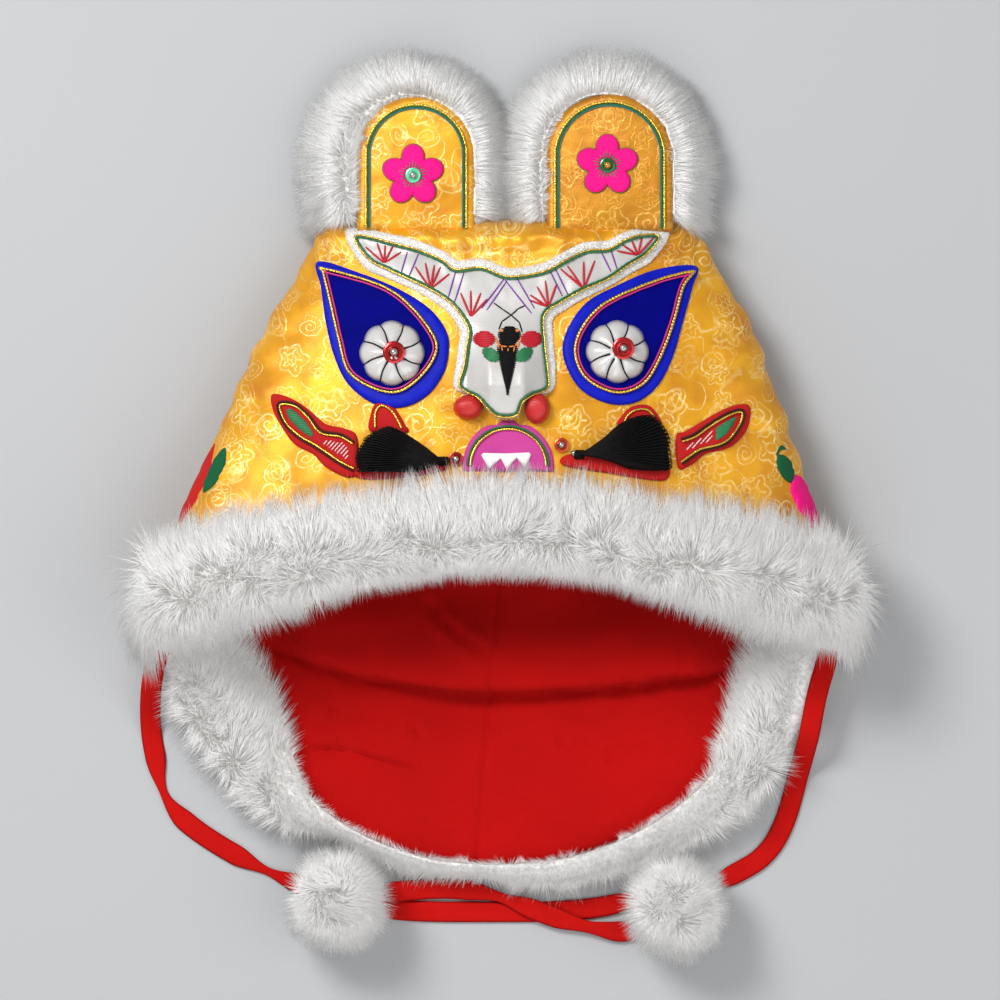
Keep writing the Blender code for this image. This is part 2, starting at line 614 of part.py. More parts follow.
def smooth_path(points, count):
    """Points at even spacing on a smooth curve through the given ones."""
    route = [Vector(p) for p in points]
    fine = []
    for i in range(len(route) - 1):
        before, start = route[max(i - 1, 0)], route[i]
        end, after = route[i + 1], route[min(i + 2, len(route) - 1)]
        for k in range(12):
            t = k / 12.0
            fine.append(0.5 * (2.0 * start + (end - before) * t
                               + (2.0 * before - 5.0 * start + 4.0 * end - after) * t**2
                               + (3.0 * start - before - 3.0 * end + after) * t**3))
    fine.append(route[-1])
    lengths = [0.0]
    for a, b in zip(fine, fine[1:]):
        lengths.append(lengths[-1] + (b - a).length)
    even, at = [], 0
    for i in range(count):
        want = lengths[-1] * i / (count - 1)
        while at < len(fine) - 2 and lengths[at + 1] < want:
            at += 1
        share = (want - lengths[at]) / max(1e-9, lengths[at + 1] - lengths[at])
        even.append(fine[at].lerp(fine[at + 1], min(1.0, share)))
    return even


def sweep_flat(name, path, wide, low, high, top_share, finish, is_round=True):
    """A four-sided strip along a path: its width lies level, low to high about the path."""
    points = []
    for i, here in enumerate(path):
        ahead = path[min(i + 1, len(path) - 1)] - path[max(i - 1, 0)]
        side = Vector((ahead.y, -ahead.x, 0.0)).normalized() * wide / 2.0
        up = Vector((0.0, 0.0, 1.0))
        points += [here - side + up * low, here + side + up * low,
                   here + side * top_share + up * high, here - side * top_share + up * high]
    faces = grid_faces(len(path), 4, True)
    last = 4 * (len(path) - 1)
    faces += [(0, 1, 2, 3), (last + 3, last + 2, last + 1, last)]
    return make_object(name, points, faces, finish, is_round)


def couched_cord(name, plan, surface, low, finish, count):
    """A twisted cord stitched down along a plan path on a surface."""
    path = smooth_path([(x, y, 0.0) for x, y in plan], count)
    for point in path:
        point.z = surface(point.x, point.y) + low
    return sweep_flat(name, path, CORD_WIDE, 0.0, CORD_HIGH, 0.45, finish)


def nose_rise(x, y):
    """How far the padded nose stands up: a flat ridge with two side planes and a lower facet."""
    if y >= NOSE_ROOT_Y:
        return 0.0
    if y >= NOSE_PEAK_Y:
        along = smooth((NOSE_ROOT_Y - y) / (NOSE_ROOT_Y - NOSE_PEAK_Y))
    else:
        fall = (NOSE_PEAK_Y - y) / (NOSE_PEAK_Y - NOSE_TIP_Y)
        along = 1.0 + (NOSE_TIP_SHARE - 1.0) * min(1.0, fall)
    across = (NOSE_HALF - abs(x - NOSE_X)) / (NOSE_HALF - NOSE_RIDGE)
    return NOSE_HIGH * along * min(1.0, max(0.0, across))


def make_brow():
    """White felt, the satin brow and nose panel on it, and the cord round its edge."""
    edge = [row[:2] for row in PANEL_EDGE]
    felt = offset_outline(edge, [row[2] for row in PANEL_EDGE])
    cuts = (PANEL_CUTS_X, PANEL_CUTS_Y)
    drape_slab("brow_felt", felt, crown_top, SEAT, lambda x, y: FELT, "white_felt",
               (FELT_CUTS_X, FELT_CUTS_Y))
    panel_low = SEAT + FELT + STACK
    drape_slab("brow_panel", edge, crown_top, panel_low, lambda x, y: PANEL + nose_rise(x, y),
               "white_satin", cuts)
    inner = offset_outline(edge, [-CORD_WIDE / 2.0] * len(edge))
    start = 28
    path = inner[start:] + inner[:start]

    def panel_face(x, y):
        steps = (-CORD_WIDE / 2.0, 0.0, CORD_WIDE / 2.0)
        near = [(x + across, y + along) for across in steps for along in steps]
        return max(crown_top(*at) + nose_rise(*at) for at in near) + panel_low + PANEL

    couched_cord("brow_cord", path, panel_face, STACK + 0.3, "green_cord", 48)


def make_eye(side):
    """One eye: patch, cord, lobed button, sequin and bead."""
    eye = EYES[side]
    drape_slab(f"eye_patch_{side}", list(eye["patch"]), crown_top, SEAT,
               lambda x, y: PATCH, "blue_satin")
    face = SEAT + PATCH + STACK
    couched_cord(f"eye_cord_{side}", eye["cord"], crown_top, face + CORD_LIFT, "gold_cord", 25)
    radius = eye["button_radius"]
    drape_dome(f"eye_button_{side}", eye["button"], (radius, radius), crown_top, face, BUTTON_HIGH,
               "white_satin", BUTTON_LOBES, LOBE_SHARE, segments=16, steps=(0.45, 0.8, 1.0))
    top = face + BUTTON_HIGH + STACK
    drape_dome(f"eye_sequin_{side}", eye["sequin"], (SEQUIN_BIG, SEQUIN_BIG), crown_top, top,
               SEQUIN_THICK, "red_sequin", segments=10, steps=(1.0,))
    drape_dome(f"eye_bead_{side}", eye["sequin"], (BEAD_RADIUS, BEAD_RADIUS), crown_top,
               top + SEQUIN_THICK + STACK, 2.0 * BEAD_RADIUS, "steel_bead", segments=8,
               steps=(0.7, 1.0))


def make_muzzle():
    """Silk nose balls, the mouth with its cord and teeth."""
    for side, (x, y, wide, deep) in NOSE_BALLS.items():
        drape_dome(f"nose_ball_{side}", (x, y), (wide, deep), crown_top, SEAT, NOSE_BALL_HIGH,
                   "red_silk", segments=10, steps=(0.5, 0.85, 1.0))
    arch = []
    spring = MOUTH_TOP - MOUTH_HALF
    for i in range(13):
        angle = math.pi * i / 12.0
        arch.append((MOUTH_X + MOUTH_HALF * math.cos(angle), spring + MOUTH_HALF * math.sin(angle)))
    patch = [(MOUTH_X + MOUTH_HALF, MOUTH_FOOT)] + arch + [(MOUTH_X - MOUTH_HALF, MOUTH_FOOT)]
    patch = [(x, min(y, MOUTH_FLAT_Y if abs(x - MOUTH_X) > MOUTH_PEAK_HALF else MOUTH_TOP))
             for x, y in patch]
    drape_slab("mouth_patch", patch, crown_top, SEAT, lambda x, y: PATCH, "mouth_felt")
    wide, deep = MOUTH_CORD_SHARE
    inner = [(MOUTH_X + (x - MOUTH_X) * wide, spring + (y - spring) * deep) for x, y in arch]
    face = SEAT + PATCH + STACK
    path = [(x, max(y, MOUTH_CORD_FOOT)) for x, y in inner]
    couched_cord("mouth_cord", path, crown_top, face, "green_cord", 18)
    drape_slab("teeth", list(TEETH), crown_top, face, lambda x, y: TEETH_THICK, "white_felt")


def make_cheek(side):
    """Leaf-shaped applique with its cord, the small petal behind the tassel, tassel and sequin."""
    cheek = CHEEKS[side]
    drape_slab(f"cheek_leaf_{side}", list(cheek["leaf"]), crown_top, SEAT,
               lambda x, y: PATCH, "red_felt")
    face = SEAT + PATCH + STACK
    couched_cord(f"cheek_cord_{side}", cheek["cord"], crown_top, face + CORD_LIFT, "gold_cord", 20)
    drape_slab(f"cheek_petal_{side}", list(cheek["petal"]), crown_top, SEAT,
               lambda x, y: PATCH, "red_felt")
    x, y = cheek["sequin"]
    drape_dome(f"cheek_sequin_{side}", (x, y), (SEQUIN_SMALL, SEQUIN_SMALL), crown_top, SEAT,
               SEQUIN_THICK + 2.0, "red_sequin", segments=10, steps=(0.4, 1.0))
    make_tuft(side, cheek)


def make_tuft(side, cheek):
    """Thread tassel: strands fanned from a sewn head, fused in one ridged body."""
    head_x, head_y = cheek["tuft_head"]
    start, end = (math.radians(a) for a in cheek["tuft_angles"])
    rows = (0.12, 0.55, 1.0)
    count = 2 * TUFT_STRANDS + 1
    points = []
    for layer in (0, 1):
        for row, share in enumerate(rows):
            for i in range(count):
                angle = start + (end - start) * i / (count - 1)
                crest = i % 2
                reach = cheek["tuft_reach"] * (1.0 if crest else 0.9)
                x = head_x + reach * share * math.cos(angle)
                y = head_y + reach * share * math.sin(angle)
                y = max(y, TUFT_FOOT)
                hump = math.sin(math.pi * min(1.0, 0.25 + 0.62 * share))
                edge = math.sin(math.pi * (i + 1) / (count + 1)) ** 0.5
                high = 1.2 + TUFT_HIGH * hump * edge * (1.0 if crest else 0.72)
                points.append((x, y, crown_top(x, y) + SEAT + PATCH + 0.45 + (high if layer else 0.0)))
    lower = grid_faces(len(rows), count, False)
    shift = len(rows) * count
    faces = [tuple(reversed(face)) for face in lower]
    faces += [tuple(i + shift for i in face) for face in lower]
    rim = [i for i in range(count)]
    rim += [row * count + count - 1 for row in range(1, len(rows))]
    rim += [(len(rows) - 1) * count + i for i in reversed(range(count - 1))]
    rim += [row * count for row in reversed(range(1, len(rows) - 1))]
    for a, b in zip(rim, rim[1:] + rim[:1]):
        faces.append((a, b, b + shift, a + shift))
    make_object(f"whisker_tuft_{side}", points, faces, "black_thread")


def side_piece(name, sign, span, finish):
    """A petal or leaf that lies on the crown's side, round the turn of the cloth."""
    rows, columns = 3, 3
    points = []
    for stand in (SEAT + 0.35, SEAT + 0.35 + SIDE_THICK):
        for row in range(rows + 1):
            angle = SIDE_ANGLES[0] + (SIDE_ANGLES[1] - SIDE_ANGLES[0]) * row / rows
            swell = math.sin(math.pi * (0.16 + 0.68 * row / rows))
            for column in range(columns + 1):
                share = column / columns - 0.5
                y = (span[0] + span[1]) / 2.0 + (span[1] - span[0]) * share * swell
                here = crown_point(sign * angle, y)
                step = crown_point(sign * (angle + 0.5), y) - crown_point(sign * (angle - 0.5), y)
                down = crown_point(sign * angle, y + 0.5) - crown_point(sign * angle, y - 0.5)
                normal = step.cross(down).normalized()
                if normal.x * sign < 0.0:
                    normal.negate()
                points.append(here + normal * stand)
    lower = grid_faces(rows + 1, columns + 1, False)
    shift = (rows + 1) * (columns + 1)
    wide = columns + 1
    faces = [tuple(reversed(face)) for face in lower]
    faces += [tuple(i + shift for i in face) for face in lower]
    rim = list(range(wide)) + [row * wide + columns for row in range(1, rows + 1)]
    rim += [rows * wide + i for i in reversed(range(columns))]
    rim += [row * wide for row in reversed(range(1, rows))]
    for a, b in zip(rim, rim[1:] + rim[:1]):
        faces.append((a, b, b + shift, a + shift))
    make_object(name, points, faces, finish)


def ear_plane(side):
    """Height of the ear plaque's underside over a plan point."""
    ear = EARS[side]

    def height(x, y):
        share = (y - ear["root"]) / (ear["tip"] - ear["root"])
        return EAR_ROOT_Z + (EAR_TIP_Z - EAR_ROOT_Z) * share

    return height


def tombstone(x, root, half, tip, legs=3, turns=10):
    """Outline with a straight root, two legs and a round top."""
    centre_y = tip - half
    outline = [(x + half, root + (centre_y - root) * i / legs) for i in range(legs)]
    for i in range(turns + 1):
        angle = math.pi * i / turns
        outline.append((x + half * math.cos(angle), centre_y + half * math.sin(angle)))
    outline += [(x - half, root + (centre_y - root) * i / legs) for i in reversed(range(legs))]
    return outline


def make_ear(side):
    """Brocade plaque with cord, flower, sequin and bead, and the fur pad behind it."""
    ear = EARS[side]
    plane = ear_plane(side)
    finish = "brocade" if side == "left" else "brocade_shade"
    outline = tombstone(ear["x"], ear["root"], ear["half"], ear["tip"])
    drape_slab(f"ear_{side}", outline, plane, 0.0, lambda x, y: EAR_THICK, finish, ((), ()))
    face = EAR_THICK + STACK
    inset = EAR_CORD_INSET
    path = tombstone(ear["x"], ear["root"] + 1.0, ear["half"] - inset, ear["tip"] - inset)
    couched_cord(f"ear_cord_{side}", path, plane, face, "green_cord", 21)
    at = FLOWER_AT[side]
    drape_dome(f"ear_flower_{side}", at, (FLOWER_RADIUS * 0.86, FLOWER_RADIUS * 0.86), plane, face,
               1.4, "pink_felt", lobes=5, lobe=0.16, segments=20, steps=(0.5, 1.0), power=8.0, turn=90.0)
    top = face + 1.4 + STACK
    drape_dome(f"ear_sequin_{side}", at, (SEQUIN_SMALL, SEQUIN_SMALL), plane, top, SEQUIN_THICK,
               "green_sequin", segments=10, steps=(1.0,))
    drape_dome(f"ear_bead_{side}", at, (BEAD_RADIUS, BEAD_RADIUS), plane,
               top + SEQUIN_THICK + STACK, 2.0 * BEAD_RADIUS, "steel_bead", segments=8,
               steps=(0.7, 1.0))
    ear_fur(side, ear, plane)


def ear_fur(side, ear, plane):
    """Fur pad under the plaque: locks stand out round the plaque's legs and top."""
    rings = (
        ("fur", -7.0, lambda y: 0.0, 0.4),
        ("fur", 0.0, lambda y: EAR_FUR_RIM_Z, 1.0),
        ("fur", -6.5, lambda y: plane(0, y) + EAR_THICK - 1.0, 0.6),
        ("plaque", 1.6, lambda y: plane(0, y) + 1.2, 0.0),
        ("plaque", 0.8, lambda y: plane(0, y) - STACK, 0.0),
    )
    points = []
    count = 0
    for kind, grow, height, lock in rings:
        if kind == "fur":
            outline = tombstone(ear["fur_x"], EAR_FUR_ROOT, ear["fur_half"] + grow,
                                EAR_FUR_TIP + grow, legs=4, turns=14)
        else:
            outline = tombstone(ear["x"], EAR_FUR_ROOT, ear["half"] + grow, ear["tip"] + grow,
                                legs=4, turns=14)
        count = len(outline)
        centre = Vector((ear["fur_x"], ear["tip"] - ear["half"]))
        for i, (x, y) in enumerate(outline):
            away = (Vector((x, y)) - centre).normalized()
            shift = EAR_LOCK * lock * (1 if i % 2 else -1) if 0 < i < count - 1 else 0.0
            x, y = x + away.x * shift, max(EAR_FUR_ROOT, y + away.y * shift)
            low = plane(x, y) - STACK
            points.append((x, y, height(y) if 0 < i < count - 1 else min(height(y), low)))
    last = len(rings) - 1
    faces = grid_faces(len(rings), count, True)
    faces.append(tuple(range(count)))
    faces.append(tuple(last * count + i for i in reversed(range(count))))
    make_object(f"ear_fur_{side}", points, faces, "white_fur")


def lay_on(path, wide, under, stand):
    """Raise a path, where it has to be, until a strip of that width lies on top of a body."""
    tree = BVHTree.FromPolygons([v.co / MM for v in under.data.vertices],
                                [tuple(p.vertices) for p in under.data.polygons])
    laid = []
    for i, here in enumerate(path):
        before, after = path[max(i - 1, 0)], path[min(i + 1, len(path) - 1)]
        side = Vector((after.y - before.y, before.x - after.x, 0.0)).normalized() * wide
        high = here.z
        for share in LAY_STEPS:
            at = here.lerp(after if share > 0.0 else before, abs(share))
            for across in LAY_STEPS:
                place = at + side * across * 0.55
                hit = tree.ray_cast(Vector((place.x, place.y, SKY)), Vector((0.0, 0.0, -1.0)))[0]
                if hit:
                    high = max(high, hit.z + stand)
        laid.append(Vector((here.x, here.y, high)))
    for order in (range(1, len(laid)), range(len(laid) - 2, -1, -1)):
        for i in order:
            near = laid[i - order.step]
            fall = LAY_FALL * (laid[i].xy - near.xy).length
            laid[i].z = max(laid[i].z, near.z - fall)
    return laid


def make_ties(nape):
    """The two chin ties, flat cotton tapes that run to the far pompom, and the pompoms."""
    for side, route in TIES.items():
        path = lay_on(smooth_path(route, TIE_POINTS), TIE_WIDE, nape, TIE_THICK / 2.0 + STACK)
        sweep_flat(f"tie_{side}", path, TIE_WIDE, -TIE_THICK / 2.0, TIE_THICK / 2.0, 1.0,
                   "red_cotton", is_round=False)
    for side, (x, y) in POMPOMS.items():
        make_pompom(f"pompom_{side}", x, y)


def make_pompom(name, x, y, around=12, rows=8):
    """A ball of fur locks, pressed flat where it lies."""
    points = [(x, y, POMPOM_FOOT)]
    for row in range(1, rows):
        tilt = math.pi * row / rows
        for i in range(around):
            turn = 2.0 * math.pi * (i + 0.5 * (row % 2)) / around
            radius = POMPOM_RADIUS + POMPOM_LOCK * (1 if (i + row) % 2 else -1)
            z = POMPOM_CENTRE - radius * math.cos(tilt)
            points.append((x + radius * math.sin(tilt) * math.cos(turn),
                           y + radius * math.sin(tilt) * math.sin(turn), max(POMPOM_FOOT, z)))
    points.append((x, y, POMPOM_CENTRE + POMPOM_RADIUS))
    faces = [(0, 1 + (i + 1) % around, 1 + i) for i in range(around)]
    faces += [tuple(1 + i for i in face) for face in grid_faces(rows - 1, around, True)]
    last, first = len(points) - 1, 1 + (rows - 2) * around
    faces += [(last, first + i, first + (i + 1) % around) for i in range(around)]
    make_object(name, points, faces, "white_fur")


def main():
    """Build the hat, from the crown outwards."""
    clear_scene()
    make_shell("crown", 0.0, WALL, 0.0, "brocade", folded=False)
    lining_low = WALL + CLOTH_GAP
    make_shell("lining", lining_low, lining_low + LINING, LINING_SHORT, "lining_cotton", folded=True)
    nape = make_fur_bands()
    make_brow()
    make_muzzle()
    for side, sign in (("left", -1.0), ("right", 1.0)):
        make_ear(side)
        make_eye(side)
        make_cheek(side)
        side_piece(f"side_petal_{side}", sign, SIDE_PETAL[side], "red_felt" if sign < 0 else "pink_felt")
        side_piece(f"side_leaf_{side}", sign, SIDE_LEAF[side], "green_felt")
    make_ties(nape)


main()
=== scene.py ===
"""Child's tiger hat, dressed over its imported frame: brocade, fur, felt, couched cord and silk.

The hat lies on its back and is seen from straight above. Sizes in the classes are millimetres in the
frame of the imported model; MM turns them into metres when a mesh is made.
"""
import logging
import math
from dataclasses import dataclass, field
from enum import Enum
from typing import Any, Callable, Sequence

import bmesh
import bpy
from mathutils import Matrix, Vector, noise
from mathutils.bvhtree import BVHTree
from mathutils.geometry import delaunay_2d_cdt


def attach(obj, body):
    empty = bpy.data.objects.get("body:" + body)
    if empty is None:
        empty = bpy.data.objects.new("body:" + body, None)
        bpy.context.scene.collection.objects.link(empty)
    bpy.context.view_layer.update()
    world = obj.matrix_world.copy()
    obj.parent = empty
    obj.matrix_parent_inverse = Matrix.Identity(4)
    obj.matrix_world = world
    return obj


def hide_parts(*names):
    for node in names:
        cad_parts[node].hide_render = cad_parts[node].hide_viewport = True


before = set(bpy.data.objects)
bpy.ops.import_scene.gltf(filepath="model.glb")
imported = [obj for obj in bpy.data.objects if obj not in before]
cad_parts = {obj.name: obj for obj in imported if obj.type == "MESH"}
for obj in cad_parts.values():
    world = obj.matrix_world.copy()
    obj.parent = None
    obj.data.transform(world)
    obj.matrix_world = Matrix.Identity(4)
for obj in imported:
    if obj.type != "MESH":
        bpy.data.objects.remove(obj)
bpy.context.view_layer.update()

MM = 0.001
CEILING = 90.0
LOG = logging.getLogger("tiger_hat")
Point = tuple[float, float]
Colour = tuple[float, float, float]
Height = Callable[[float, float], float]


class Side(Enum):
    """The two halves of the hat, as the photograph shows them."""

    LEFT = "left"
    RIGHT = "right"


def smooth(share: float) -> float:
    """0 to 1 with a soft start and end."""
    share = min(1.0, max(0.0, share))
    return share * share * (3.0 - 2.0 * share)


def bump(x: float, centre: float, half: float) -> float:
    """1 at the centre, falling softly to 0 at half away from it."""
    return smooth(1.0 - abs(x - centre) / half)


def waver(x: float, y: float, size: float, seed: float) -> float:
    """Soft noise from -1 to 1 over a plane, with hills of about that size."""
    return noise.noise(Vector((x / size, y / size, seed)))


def circle(count: int) -> list[float]:
    """Angles of that many even steps round."""
    return [2.0 * math.pi * k / count for k in range(count)]


def polar(centre: Point, radius: float, angle: float) -> Point:
    """A plan point at that distance and angle from a centre."""
    return centre[0] + radius * math.cos(angle), centre[1] + radius * math.sin(angle)


class Value:
    """A node's output socket that can be used in sums and products."""

    def __init__(self, graph: "Graph", socket: bpy.types.NodeSocket) -> None:
        """Wrap a socket of a tree."""
        self.graph = graph
        self.socket = socket

    def maths(self, operation: str, other: Any = None, swapped: bool = False) -> "Value":
        """A Math node on this value and another one.

        Args:
            operation: The Math node's operation.
            other: The second value, or None.
            swapped: Whether the other value comes first.

        Returns:
            The node's result.
        """
        pair = [self] if other is None else [other, self] if swapped else [self, other]
        return self.graph.add("ShaderNodeMath", {"operation": operation}, dict(enumerate(pair)))

    def __add__(self, other: Any) -> "Value":
        """Sum."""
        return self.maths("ADD", other)

    __radd__ = __add__

    def __sub__(self, other: Any) -> "Value":
        """Difference."""
        return self.maths("SUBTRACT", other)

    def __rsub__(self, other: Any) -> "Value":
        """Difference the other way round."""
        return self.maths("SUBTRACT", other, True)

    def __mul__(self, other: Any) -> "Value":
        """Product."""
        return self.maths("MULTIPLY", other)

    __rmul__ = __mul__

    def __truediv__(self, other: Any) -> "Value":
        """Quotient."""
        return self.maths("DIVIDE", other)

    def __rtruediv__(self, other: Any) -> "Value":
        """Quotient the other way round."""
        return self.maths("DIVIDE", other, True)

    def __lt__(self, other: Any) -> "Value":
        """1 where this is less."""
        return self.maths("LESS_THAN", other)

    def __gt__(self, other: Any) -> "Value":
        """1 where this is greater."""
        return self.maths("GREATER_THAN", other)

    def clip(self) -> "Value":
        """The value kept between 0 and 1."""
        return self.maths("MINIMUM", 1.0).maths("MAXIMUM", 0.0)

    def step(self, low: float, high: float) -> "Value":
        """0 below low, 1 above high, even between them."""
        return ((self - low) / (high - low)).clip()


class Graph:
    """A node tree with one way to add a node."""

    def __init__(self, tree: bpy.types.NodeTree) -> None:
        """Wrap a tree."""
        self.tree = tree

    def put(self, socket: bpy.types.NodeSocket, value: Any) -> None:
        """Link or set one input socket."""
        if isinstance(value, Value):
            self.tree.links.new(value.socket, socket)
        else:
            socket.default_value = value

    def add(self, kind: str, settings: dict[str, Any] | None = None,
            inputs: dict[str | int, Any] | None = None, out: str | int = 0) -> Value:
        """Add a node.

        Args:
            kind: The node's type.
            settings: Its properties.
            inputs: Values or links of its sockets, by name or place.
            out: The output that is wanted.

        Returns:
            That output.
        """
        node = self.tree.nodes.new(kind)
        for key, value in (settings or {}).items():
            setattr(node, key, value)
        for key, value in (inputs or {}).items():
            self.put(node.inputs[key], value)
        return Value(self, node.outputs[out])

    def vector(self, operation: str, first: Any, second: Any = None, out: int = 0) -> Value:
        """A Vector Math node on one or two vectors."""
        inputs = {0: first} if second is None else {0: first, 1: second}
        return self.add("ShaderNodeVectorMath", {"operation": operation}, inputs, out)

    def parts(self, vector: Any, count: int) -> list[Value]:
        """The first numbers of a vector, each from a node of its own."""
        return [self.add("ShaderNodeSeparateXYZ", None, {0: vector}, i) for i in range(count)]

    def scaled(self, vector: Any, scale: Any) -> Value:
        """A vector times a number."""
        return self.add("ShaderNodeVectorMath", {"operation": "SCALE"}, {0: vector, "Scale": scale})

    def mix(self, factor: Any, first: Any, second: Any) -> Value:
        """Two colours mixed."""
        colours = [(*c, 1.0) if isinstance(c, tuple) else c for c in (first, second)]
        return self.add("ShaderNodeMix", {"data_type": "RGBA"},
                        {0: factor, 6: colours[0], 7: colours[1]}, 2)

    def noise(self, place: Any, scale: float, detail: float = 2.0, rough: float = 0.5,
              out: int = 0) -> Value:
        """A Noise Texture's factor, or its colour with out 1."""
        return self.add("ShaderNodeTexNoise", None, {"Vector": place, "Scale": scale,
                        "Detail": detail, "Roughness": rough}, out)


@dataclass(frozen=True)
class Finish:
    """A cloth, thread, felt or metal finish.

    Attributes:
        name: The material's name.
        colour: Main colour, linear.
        shade: Colour of the hollows and of the thread's darker side.
        rough: Roughness.
        sheen: Weight of the sheen.
        metal: Metallic weight.
        grain: Size of the weave or fibre, in metres.
        depth: Depth of the weave or fibre's relief, in metres.
        tone: Size of the cloudy change of tone, in metres.
        painted_glow: Painted glow: light given off, as a share of their colour, that brightens the fibres
            where they shade each other.
        gloss: Specular level.
    """

    name: str
    colour: Colour
    shade: Colour
    rough: float = 0.8
    sheen: float = 0.0
    metal: float = 0.0
    grain: float = 0.0006
    depth: float = 0.00008
    tone: float = 0.02
    painted_glow: float = 0.0
    gloss: float = 0.5

    def start(self) -> tuple[Graph, bpy.types.Node, bpy.types.Material]:
        """A new material's graph, its Principled shader and the material."""
        made = bpy.data.materials.new(self.name)
        made.use_nodes = True
        made.diffuse_color = (*self.colour, 1.0)
        shader = made.node_tree.nodes["Principled BSDF"]
        shader.inputs["Roughness"].default_value = self.rough
        shader.inputs["Metallic"].default_value = self.metal
        shader.inputs["Sheen Weight"].default_value = self.sheen
        shader.inputs["Sheen Roughness"].default_value = 0.4
        shader.inputs["Sheen Tint"].default_value = (*(0.5 + 0.5 * c for c in self.colour), 1.0)
        # Painted glow: the finish gives off light of its own colour, which lifts its shaded places.
        shader.inputs["Emission Color"].default_value = (*self.colour, 1.0)
        shader.inputs["Emission Strength"].default_value = self.painted_glow
        shader.inputs["Specular IOR Level"].default_value = self.gloss
        return Graph(made.node_tree), shader, made

    def place(self, graph: Graph) -> Value:
        """Object coordinates."""
        return graph.add("ShaderNodeTexCoord", None, None, "Object")

    def relief(self, graph: Graph, shader: bpy.types.Node, height: Value, depth: float) -> None:
        """Lead a height, 0 to 1, to the shader's normal."""
        normal = graph.add("ShaderNodeBump", None, {"Height": height, "Distance": depth,
                           "Strength": 1.0}, "Normal")
        graph.put(shader.inputs["Normal"], normal)

    def fibres(self, graph: Graph) -> tuple[Value, Value]:
        """The cloudy colour of felt or fur, and the height of its fibres."""
        place = self.place(graph)
        cloud = graph.noise(place, 1.0 / self.tone, 3.0)
        fibre = graph.noise(place, 1.0 / self.grain, 4.0, 0.65)
        return graph.mix((cloud * 0.7 + fibre * 0.6 - 0.15).clip(), self.shade, self.colour), fibre

    def build(self) -> bpy.types.Material:
        """The material, made once."""
        found = bpy.data.materials.get(self.name)
        if found:
            return found
        graph, shader, made = self.start()
        self.dress(graph, shader)
        return made

    def dress(self, graph: Graph, shader: bpy.types.Node) -> None:
        """Felt or thread: cloudy tone and a soft fibrous relief."""
        colour, fibre = self.fibres(graph)
        graph.put(shader.inputs["Base Color"], colour)
        self.relief(graph, shader, fibre, self.depth)


@dataclass(frozen=True)
class Pelt(Finish):
    """Fur: dim and mottled between the roots, as painted shade where the hairs shadow each other, and light
    towards the tips of its hairs.

    Attributes:
        roots: Colour of a hair's foot, darkened as painted shade.
        under: Colour of the shadow between the roots.
        light_from: Share of a hair's length where it reaches its main colour.
    """

    roots: Colour = (0.70, 0.69, 0.675)
    under: Colour = (0.52, 0.51, 0.495)
    light_from: float = 0.3

    def dress(self, graph: Graph, shader: bpy.types.Node) -> None:
        """The tip attribute is 0 on the body and runs from 0 to 1 along a hair."""
        colour, fibre = self.fibres(graph)
        tip = graph.add("ShaderNodeAttribute", {"attribute_name": "tip"}, None, "Fac")
        ends = graph.noise(self.place(graph), 0.6 / self.grain, 2.0).step(0.36, 0.62)
        # Painted shade: the body and each hair's foot take the darker roots colour, mottled with the shadow
        # colour under them, and the glow follows that colour.
        colour = graph.mix(tip.step(0.0, self.light_from), graph.mix(ends, self.under, self.roots), colour)
        graph.put(shader.inputs["Base Color"], colour)
        graph.put(shader.inputs["Emission Color"], colour)
        self.relief(graph, shader, fibre, self.depth)


@dataclass(frozen=True)
class Woven(Finish):
    """Plain or satin weave: two sets of threads in relief, with slubs."""

    satin: float = 0.0

    def dress(self, graph: Graph, shader: bpy.types.Node) -> None:
        """Threads across each other, longer floats on satin."""
        place = self.place(graph)
        part = graph.parts(place, 3)
        turn = 2.0 * math.pi / self.grain
        across = ((part[0] + part[2] * 0.5) * turn).maths("SINE")
        along = ((part[1] + part[2] * 0.4) * turn * (1.0 - 0.55 * self.satin)).maths("SINE")
        weave = across * along * (0.5 - 0.3 * self.satin) + across * 0.3 * self.satin + 0.5
        cloud = graph.noise(place, 1.0 / self.tone, 3.0)
        slub = graph.noise(place, 0.16 / self.grain, 2.0)
        colour = graph.mix((cloud * 0.9 + weave * 0.22 + slub * 0.3 - 0.25).clip(), self.shade,
                           self.colour)
        graph.put(shader.inputs["Base Color"], colour)
        self.relief(graph, shader, weave * 0.6 + slub * 0.4, self.depth)


